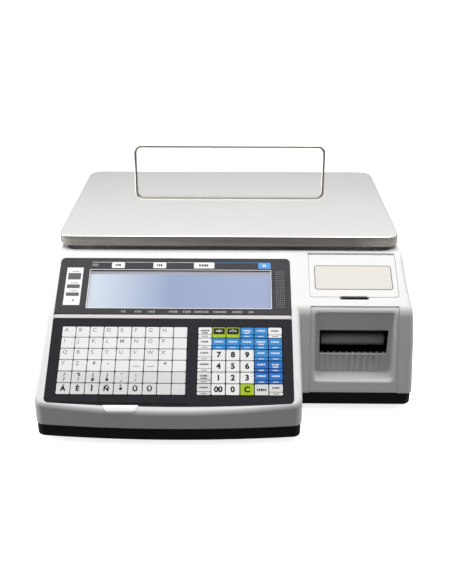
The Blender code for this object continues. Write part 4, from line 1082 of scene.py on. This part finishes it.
def pull_tab():
    """The tab of the key sheet, which comes out of its slit and is folded down over the rim."""
    lift, thick = 0.35 * MM, 0.3 * MM
    middle = -109.5 * MM
    rim = (front_y(middle) - FOLD.y) / math.cos(KEYPAD_SLOPE)
    out = Vector((0, -math.sin(KEYPAD_SLOPE), math.cos(KEYPAD_SLOPE)))
    turn = math.pi / 2 - KEYPAD_SLOPE
    straight = rim + RIM_RADIUS * math.tan(turn / 2)
    flat = (mm(-104.2, -0.7), (-106 * MM, lift), (straight, lift))
    path = [(KEYPAD_FRAME @ Vector((0, y, z)), out) for y, z in flat]
    centre = KEYPAD_FRAME @ Vector((0, straight, -RIM_RADIUS))
    for k in range(1, 9):
        normal = Matrix.Rotation(turn * k / 8, 3, "X") @ out
        path.append((centre + normal * (RIM_RADIUS + lift), normal))
    end, normal = path[-1]
    path.append((end + Vector((0, 0, -2.2 * MM)), normal))
    top = path[0][0].z
    rings = []
    for point, normal in path:
        share = (top - point.z) / (top - path[-1][0].z)
        half = Vector(((18 - 7.7 * share) * MM, 0, 0))
        mid = point + Vector((middle, 0, 0))
        inwards = normal * thick
        rings.append([mid - half, mid + half, mid + half - inwards, mid - half - inwards])
    piece("key_sheet_tab", [(loft(rings), KEY_WHITE)], "housing", (), 60)


# --- printer front ------------------------------------------------------------------------------
def cover():
    """The lid: a plate with rounded edges that hangs on its barrel, and the badge let into it."""
    low, high = LID_X
    front, rear = 23.5 * MM, LID_AXIS[0] + 1.2 * MM
    big, small = 3 * MM, 0.6 * MM
    corners = [(low, front, big), (high, front, big), (high, rear, small), (low, rear, small)]
    lid = solid(slab(rounded_outline(corners), -2.5 * MM, 0, 0.5 * MM))
    join(lid, cylinder(LID_AXIS, 2.5 * MM, low, high, "X", 40))
    cut(
        lid,
        prism(rounded_rectangle(*BADGE, 3 * MM), "Z", -0.9 * MM, 5 * MM),
        prism(rounded_rectangle(mm(119.5, 15), mm(148.5, 24.8), 1.2 * MM), "Z", -5 * MM, 5 * MM),
        cylinder(LID_AXIS, 1.5 * MM, low - 5 * MM, high + 5 * MM, "X", 24),
    )
    lid.data.transform(DISPLAY_FRAME)
    finished(lid, "cover_lid", WHITE, "printer_cover", "label_cover")

    edge = inset(rounded_rectangle(*BADGE, 3 * MM), 0.1 * MM)
    line = 0.7 * MM
    rim = ring_plate(edge, inset(edge, line), -0.8 * MM, 0.12 * MM, 0.1 * MM, 2)
    plate = slab(inset(edge, line + 0.03 * MM), -0.8 * MM, 0.1 * MM, 0.15 * MM)
    chunks = [(rim, GREY_INK), (plate, CREAM)]
    piece("cover_plate", chunks, "printer_cover", ("cover_badge",), matrix=DISPLAY_FRAME)

    pin = turned(rod(82.5 * MM, 186.4 * MM, 1.2 * MM, 0.3 * MM), LID_AXIS, "X", 32)
    piece("cover_pin", [(pin, ZINC)], "housing", ("cover_hinge_pin",), matrix=DISPLAY_FRAME)


def face_y(z):
    """Y of the printer's front surface at a height."""
    centre, start, end, _, _ = shoulder()
    if z >= start.y:
        return start.x + (z - start.y) / math.tan(DISPLAY_SLOPE)
    if z <= end.y:
        return end.x - (end.y - z) * math.tan(FASCIA_LEAN)
    return centre.x - math.sqrt(SHOULDER_RADIUS**2 - (z - centre.y) ** 2)


def even_rectangle(low, high, radius, per_side=14, steps=8):
    """A rounded rectangle with evenly divided sides, so that rings of any size match in count."""
    corners = [
        ((high[0] - radius, low[1] + radius), -90), ((high[0] - radius, high[1] - radius), 0),
        ((low[0] + radius, high[1] - radius), 90), ((low[0] + radius, low[1] + radius), 180),
    ]
    arcs = []
    for (x, z), first in corners:
        angles = [math.radians(first + 90 * k / steps) for k in range(steps + 1)]
        arcs.append([Vector((x + radius * math.cos(a), z + radius * math.sin(a))) for a in angles])
    points = []
    for i, arc in enumerate(arcs):
        points += arc
        following = arcs[(i + 1) % 4][0]
        points += [arc[-1].lerp(following, k / per_side) for k in range(1, per_side)]
    return points


def upright(points, y):
    """Points of an outline in (x, z), stood up at y."""
    return [Vector((p.x, y, p.y)) for p in points]


def on_face(points):
    return [Vector((p.x, face_y(p.y), p.y)) for p in points]


def grown(by, radius):
    """The recess's outline, made larger all round."""
    (x0, z0), (x1, z1) = RECESS
    return even_rectangle((x0 - by, z0 - by), (x1 + by, z1 + by), radius)


def behind_face(points, depth):
    """Points at a depth behind the outer face, or at the recess's back wall where that is nearer."""
    ring = []
    for p in points:
        outer = face_y(p.y)
        ring.append(Vector((p.x, max(min(outer + depth, RECESS_Y), outer), p.y)))
    return ring


def before_floor(points, height):
    """Points at a height before the recess's back wall, but never in front of the outer face."""
    return [Vector((p.x, max(RECESS_Y - height, face_y(p.y)), p.y)) for p in points]


def slot_outline():
    """The label slot, which is wider at its top."""
    outline = even_rectangle(*SLOT, 0.3 * MM)
    (_, z0), (_, z1) = SLOT
    middle = 134 * MM
    for p in outline:
        lean = (p.y - (z0 + z1) / 2) / (z1 - z0)
        p.x += math.copysign(0.75 * MM, p.x - middle) * lean
    return outline


def fascia():
    """The cassette's front: a rounded recess in the leaning face, with the label slot and ribs."""
    low_x, high_x = CASSETTE_X[0] + GAP, CASSETTE_X[1] - GAP
    corner, fillet, floor_round = 4.5 * MM, 2.2 * MM, 1.6 * MM
    back = -116.4 * MM
    outline = even_rectangle((low_x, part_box("printer_fascia")[0].z), (high_x, FASCIA_TOP), 0.4 * MM)
    rear = []
    for p in outline:  # the rear edge leans forwards under the housing's rounded shoulder
        eased = max(0, (p.y - 100 * MM) / (FASCIA_TOP - 100 * MM))
        rear.append(Vector((p.x, back + 2.2 * MM * eased, p.y - 3.6 * MM * eased**4)))
    rings = [rear, on_face(outline)]
    start = grown(fillet, corner + fillet)
    for k in range(1, 6):
        rings.append(on_face([a.lerp(b, k / 5) for a, b in zip(outline, start)]))
    for k in range(1, 7):
        angle = math.pi / 2 * k / 6
        by = fillet * (1 - math.sin(angle))
        rings.append(behind_face(grown(by, corner + by), fillet * (1 - math.cos(angle))))
    for k in range(1, 5):
        angle = math.pi / 2 * k / 4
        by = -floor_round * (1 - math.cos(angle))
        rings.append(before_floor(grown(by, corner + by), floor_round * (1 - math.sin(angle))))
    floor = grown(-floor_round, corner - floor_round)
    slot = slot_outline()
    for k in range(1, 4):
        rings.append(upright([a.lerp(b, k / 3) for a, b in zip(floor, slot)], RECESS_Y))
    rings.append(upright(slot, back))

    # Painted shade: a black band lines the slot's inner walls, for the deep shade inside the slot.
    lip = RECESS_Y - 0.06 * MM
    wide, narrow = inset(slot, 0.02 * MM), inset(slot, 0.5 * MM)
    slot_painted_shade = [upright(wide, back), upright(wide, lip), upright(narrow, lip), upright(narrow, back)]
    chunks = [(loft(rings, capped=False), WHITE), (loft(slot_painted_shade, capped=False), BLACK)]
    piece("cassette_front", chunks + ribs(), "printer_cassette", ("printer_fascia",))


def ribs():
    """Ribs below the slot that guide the label, and the lip that runs along their tops."""
    rear, front = RECESS_Y + 1 * MM, RECESS_Y - 2.5 * MM
    tip, shoulder_z = 58 * MM, 53.5 * MM
    side = [(rear, SILL), (front, SILL), (front, shoulder_z), (RECESS_Y - 0.3 * MM, tip), (rear, tip)]
    shape = [Vector(p) for p in side]
    centre = sum(shape, Vector((0, 0))) / len(shape)
    half = 0.6 * MM
    chunks = []
    for k in range(RIBS):
        x = 100.6 * MM + k * 6.66 * MM
        rings = []
        for offset, shrink in ((-half, 0.9), (-half * 0.5, 1), (half * 0.5, 1), (half, 0.9)):
            rings.append([(x + offset, *(centre + (p - centre) * shrink)) for p in shape])
        chunks.append((loft(rings), WHITE))
    deep, proud = RECESS_Y + 0.3 * MM, RECESS_Y - 1.3 * MM
    lip = [(deep, 57.1 * MM), (proud, 55.6 * MM), (deep, 54.8 * MM)]
    chunks.append((loft([[(x, *p) for p in lip] for x in mm(98.6, 169.9)]), WHITE))
    return chunks


# --- weighing pan -------------------------------------------------------------------------------
def pan():
    """The polished pan: a flat top, a rolled edge, a skirt, and two sleeves for the guard."""
    outline = rounded_rectangle(PLATTER_LOW.xy, PLATTER_HIGH.xy, 17 * MM, 14)
    top, bottom = PLATTER_HIGH.z, PLATTER_LOW.z
    sheet, roll = 1 * MM, 2 * MM
    rings = [level(inset(outline, roll), top - sheet)]
    for k in range(1, 5):
        a = math.pi / 2 * k / 4
        drawn = inset(outline, roll - (roll - sheet) * math.sin(a))
        rings.append(level(drawn, top - roll + (roll - sheet) * math.cos(a)))
    hem = 0.4 * MM
    rings += [level(inset(outline, sheet), bottom + hem), level(inset(outline, sheet - hem / 2), bottom)]
    rings += [level(inset(outline, hem / 2), bottom), level(outline, bottom + hem)]
    for k in range(9):
        a = math.pi / 2 * k / 8
        rings.append(level(inset(outline, roll * (1 - math.cos(a))), top - roll + roll * math.sin(a)))
    sheet_metal = solid(loft(rings))
    guard_y = centre_of("wire_guard").y
    bore, outer, soft = mm(2.4, 4.4, 0.6)
    for x in GUARD_X:
        cut(sheet_metal, cylinder((x, guard_y), bore, 160 * MM, 170 * MM, "Z", 32))
    chunks = [(taken(sheet_metal), STAINLESS)]
    low, high = 154 * MM, top - sheet
    sleeve = [(low, bore), (low, outer - soft), (low + soft, outer), (high, outer), (high, bore)]
    for x in GUARD_X:
        chunks.append((turned(sleeve, (x, guard_y), "Z", 32, capped=False), STAINLESS))
    shell = piece("weighing_pan", chunks, "weighing_platter", ("platter",), 50)
    # The skirt's faces take the steel with a painted reflection.
    shell.data.materials.append(SKIRT_PAINTED_REFLECTION)
    for face in shell.data.polygons:
        upright_wall = abs(face.normal.z) < 0.7
        if upright_wall and face.center.z < top - roll * 0.6:
            face.material_index = 1


def guard():
    """A bent wire hoop that stands in the pan's two sockets."""
    low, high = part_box("wire_guard")
    radius = (high.y - low.y) / 2
    centre_y = (low.y + high.y) / 2
    bend = 9 * MM
    left, right = low.x + radius, high.x - radius
    top, foot = high.z - radius, low.z
    path = [Vector((left, foot))]
    for centre_x, first in ((left + bend, 180), (right - bend, 90)):
        for k in range(13):
            a = math.radians(first - 90 * k / 12)
            path.append(Vector((centre_x + bend * math.cos(a), top - bend + bend * math.sin(a))))
    path.append(Vector((right, foot)))
    rings = []
    for i, point in enumerate(path):
        ahead = (path[min(i + 1, len(path) - 1)] - path[max(i - 1, 0)]).normalized()
        side = Vector((-ahead.y, ahead.x))
        ring = []
        for k in range(20):
            a = math.tau * k / 20
            offset = side * radius * math.cos(a)
            ring.append((point.x + offset.x, centre_y + radius * math.sin(a), point.y + offset.y))
        rings.append(ring)
    piece("guard_hoop", [(loft(rings), WIRE)], "goods_guard", ("wire_guard",))


def cushions():
    """Four waisted rubber cushions under the platter."""
    for side in ("front_left", "front_right", "rear_left", "rear_right"):
        node = "cushion_" + side
        low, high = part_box(node)
        radius = (high.x - low.x) / 2
        waist = (low.z + high.z) / 2
        soft = 1 * MM
        profile = [(low.z, radius - soft), (low.z + soft, radius), (waist, radius - 0.5 * MM)]
        profile += [(high.z - soft, radius), (high.z, radius - soft)]
        chunks = [(turned(profile, centre_of(node)[:2], "Z", 40), RUBBER)]
        piece("rubber_" + node, chunks, "load_carrier", (node,))


# --- printer's inside ---------------------------------------------------------------------------
def yz(node):
    return centre_of(node)[1:]


def platen():
    """The rubber roller behind the slot, on its shaft."""
    low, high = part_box("platen_roller")
    centre = yz("platen_roller")
    rubber = [mm(99.5, 7.2), mm(99.9, 8), mm(168.1, 8), mm(168.5, 7.2)]
    shaft = rod(low.x, high.x, 2.5 * MM, 0.4 * MM)
    chunks = [(turned(rubber, centre), PLATEN_RUBBER), (turned(shaft, centre, "X", 32), ZINC)]
    piece("platen", chunks, "platen", ("platen_roller",))


def paper_roll():
    """The roll of labels: a tube of wound paper."""
    low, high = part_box("label_roll")
    outer, core, inner, soft = mm(36, 20.6, 19.2, 0.3)
    rings = [(low.x, inner), (low.x, core), (low.x, outer - soft), (low.x + soft, outer)]
    rings += [(high.x - soft, outer), (high.x, outer - soft), (high.x, core), (high.x, inner)]
    chunks = [(turned(rings, yz("label_roll"), "X", 96, capped=False), PAPER)]
    piece("paper_roll", chunks, "label_supply", ("label_roll",))


def supply_hub():
    """The core that carries the label roll, with three blind holes to save plastic."""
    centre = yz("label_roll")
    hub = solid(turned([mm(100, 18), mm(100.7, 18.7), mm(166.3, 18.7), mm(167, 18)], centre))
    for k in range(3):
        a = math.radians(120 * k + 30)
        hole = (centre[0] + 11 * MM * math.cos(a), centre[1] + 11 * MM * math.sin(a))
        cut(hub, cylinder(hole, 4.5 * MM, 95 * MM, 162 * MM, "X", 32))
    low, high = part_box("supply_hub")
    join(hub, solid(turned(rod(low.x, high.x, 4 * MM, 0.5 * MM), centre, "X", 40)))
    finished(hub, "supply_core", ACETAL, "label_supply", "supply_hub")


def rewinder():
    """The spool that winds up the labels' backing paper: a thin shaft, a core and two flanges."""
    low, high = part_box("rewind_spool")
    end = [(low.x, 2.2 * MM), (low.x + 0.3 * MM, 2.5 * MM)]
    flange = [mm(96, 2.5), mm(96, 15.6), mm(96.4, 16), mm(98.1, 16), mm(98.5, 15.6), mm(98.5, 11)]
    far = [mm(165.5, 11), mm(165.5, 15.6), mm(165.9, 16), mm(167.6, 16), mm(168, 15.6), mm(168, 2.5)]
    spool = [*end, *flange, *far, (high.x - 0.3 * MM, 2.5 * MM), (high.x, 2.2 * MM)]
    chunks = [(turned(spool, yz("rewind_spool")), ACETAL)]
    piece("rewinder", chunks, "backing_rewinder", ("rewind_spool",))


# --- rear ---------------------------------------------------------------------------------------
TURN_BACK = Matrix(((1, 0, 0, 0), (0, 0, 1, 0), (0, 1, 0, 0), (0, 0, 0, 1)))  # swaps y and z


def rear_glass():
    """The customer's window, with a printed line round it and three dark fields."""
    (x0, z0), (x1, z1) = REAR_WINDOW
    face = REAR_Y - GAP
    outline = rounded_rectangle((x0, z0), (x1, z1), 0.8 * MM)
    line = inset(outline, 2.2 * MM)
    print_low, print_high = face - 0.05 * MM, face + 0.05 * MM
    frame_line = ring_plate(line, inset(line, 0.5 * MM), print_low, print_high, 0.02 * MM, 1)
    chunks = [(slab(outline, REAR_Y - 2 * MM, face, 0.4 * MM), SMOKE), (frame_line, PALE_INK)]
    for k in range(3):
        left = x0 + (12 + 66 * k) * MM
        field = rounded_rectangle((left, z0 + 9 * MM), (left + 54 * MM, z1 - 9 * MM), 0.8 * MM)
        chunks.append((slab(field, print_low, face + 0.03 * MM, 0.02 * MM, 1), PANEL))
    piece("customer_window", chunks, "housing", ("rear_window",), matrix=TURN_BACK)


def screws():
    """Cross-head screws in the rear wall."""
    dome_profile = ((-1, 3.2), (0.2, 3.2), (0.9, 2.6), (1.2, 1.4))
    profile = [(REAR_Y + out * MM, radius * MM) for out, radius in dome_profile]
    chunks = []
    for x, z in ((-180, 30), (-180, 132), (180, 30), (180, 132), (0, 30), (64, 47), (174, 47)):
        head = solid(turned(profile, mm(x, z), "Z", 32))
        for a, b in ((1.9, 0.35), (0.35, 1.9)):
            low, high = mm(x - a, z - b), mm(x + a, z + b)
            cut(head, box((*low, REAR_Y + 0.3 * MM), (*high, REAR_Y + 3 * MM)))
        chunks.append((taken(head), ZINC))
    piece("rear_screws", chunks, "housing", (), matrix=TURN_BACK)


# --- CAD nodes that stay ------------------------------------------------------------------------
KEPT_NODES = {
    SUPPORT: ("platter_support",),
    ALUMINIUM: ("load_cell", "load_cell_mount", "load_cell_post"),
    BLACK: ("lcd_module", "rear_lcd_module", "power_inlet"),
    BOARD: ("keypad_board", "main_board"),
    ZINC: ("power_supply", "port_plate"),
    ACETAL: ("power_rocker", "platen_gear", "idler_gear", "motor_pinion"),
    LEVEL: ("spirit_level",),
    DARK_STEEL: ("printer_chassis", "thermal_head", "stepper_motor"),
    LEVER_BLUE: ("head_lever",),
}


def kept_nodes():
    """CAD nodes whose shape is right get their finish, and a fine break on their edges."""
    for material, names in KEPT_NODES.items():
        for name in names:
            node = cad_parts[name]
            node.data.materials.clear()
            node.data.materials.append(material)
            edge = node.modifiers.new("edge", "BEVEL")
            edge.width = 0.25 * MM
            edge.segments = 2
            edge.limit_method = "ANGLE"
            edge.angle_limit = math.radians(50)
            edge.use_clamp_overlap = True


# --- stage --------------------------------------------------------------------------------------
def studio():
    """The camera, the floor and the lights."""
    camera = bpy.data.cameras.new("camera")
    camera.lens = 55.03
    camera.sensor_width = 36
    camera.clip_start = 0.05
    eye = bpy.data.objects.new("camera", camera)
    eye.location = mm(6.99, -981.85, 518.2)
    eye.rotation_euler = (math.radians(65.71), 0, math.radians(0.741))
    bpy.context.collection.objects.link(eye)
    bpy.context.scene.camera = eye
    bpy.context.scene.view_settings.view_transform = "Standard"

    sweep()
    softbox("overhead", (0, 0.45, 2.2), (0, 0, 0), (2.6, 1.8), 47)
    softbox("left_fill", (-2.4, 0.3, 0.9), (0, 0, 0.05), (1.2, 1.2), 25)
    dome()


def sweep():
    """A white floor that curves up into a wall, out of the way of the light on the machine."""
    material, tree, shader, vector = shader_nodes("sweep")
    shader.inputs["Roughness"].default_value = 0.9
    shader.inputs["Specular IOR Level"].default_value = 0.1
    tint = blend_colours(tree, noise(tree, vector, 0.3), (0.90, 0.90, 0.90), (0.92, 0.92, 0.92))
    tree.links.new(tint, shader.inputs["Base Color"])
    shader.inputs["Emission Color"].default_value = (1, 1, 1, 1)
    shader.inputs["Emission Strength"].default_value = 0.82
    reach, bend = 9, 3
    profile = [(0.01, 0), (reach - bend, 0)]
    for k in range(1, 9):
        a = math.pi / 2 * k / 8
        profile.append((reach - bend + bend * math.sin(a), bend - bend * math.cos(a)))
    profile.append((reach, 8))
    bm = turned([(z, radius) for radius, z in profile], (0, 0), "Z", 48)
    bm.faces.ensure_lookup_table()
    bmesh.ops.delete(bm, geom=[bm.faces[-1]], context="FACES_ONLY")
    mesh = bpy.data.meshes.new("sweep")
    bm.to_mesh(mesh)
    bm.free()
    mesh.materials.append(material)
    mesh.shade_smooth()
    floor = bpy.data.objects.new("sweep", mesh)
    floor.visible_diffuse = False
    floor.visible_glossy = False
    floor.visible_shadow = False
    bpy.context.collection.objects.link(floor)


def softbox(name, place, target, size, power):
    light = bpy.data.lights.new(name, "AREA")
    light.shape = "RECTANGLE"
    light.size, light.size_y = size
    light.energy = power
    lamp = bpy.data.objects.new(name, light)
    lamp.location = place
    lamp.rotation_euler = (Vector(target) - Vector(place)).to_track_quat("-Z", "Y").to_euler()
    bpy.context.collection.objects.link(lamp)


def dome():
    """Soft light all round: dim in front and below, and bright high up behind the machine."""
    world = bpy.data.worlds.new("dome")
    bpy.context.scene.world = world
    world.use_nodes = True
    tree = world.node_tree
    background = tree.nodes["Background"]
    place = tree.nodes.new("ShaderNodeTexCoord")
    parts = split(tree, place.outputs["Generated"])
    heights = (
        (0, 0.54), (0.1, 0.56), (0.25, 0.64), (0.286, 0.74), (0.318, 0.90), (0.36, 1.02), (0.6, 1), (1, 1)
    )
    sky = colour_ramp(tree, parts["Z"], [(position, (value,) * 3) for position, value in heights])
    front = map_range(tree, parts["Y"], (-0.75, -0.05), (0.02, 1))
    table = map_range(tree, parts["Z"], (-0.05, -0.5), (0, 0.34))
    brighter = tree.nodes.new("ShaderNodeMath")
    brighter.operation = "MAXIMUM"
    tree.links.new(front, brighter.inputs[0])
    tree.links.new(table, brighter.inputs[1])
    tree.links.new(sky, background.inputs["Color"])
    tree.links.new(brighter.outputs["Value"], background.inputs["Strength"])


studio()
case_shell()
base_shell()
levelling_feet()
display_overlay()
display_screen()
trim()
keypad_field()
letter_block()
command_block()
number_pad()
pull_tab()
cover()
fascia()
pan()
guard()
cushions()
platen()
paper_roll()
supply_hub()
rewinder()
rear_glass()
screws()
kept_nodes()
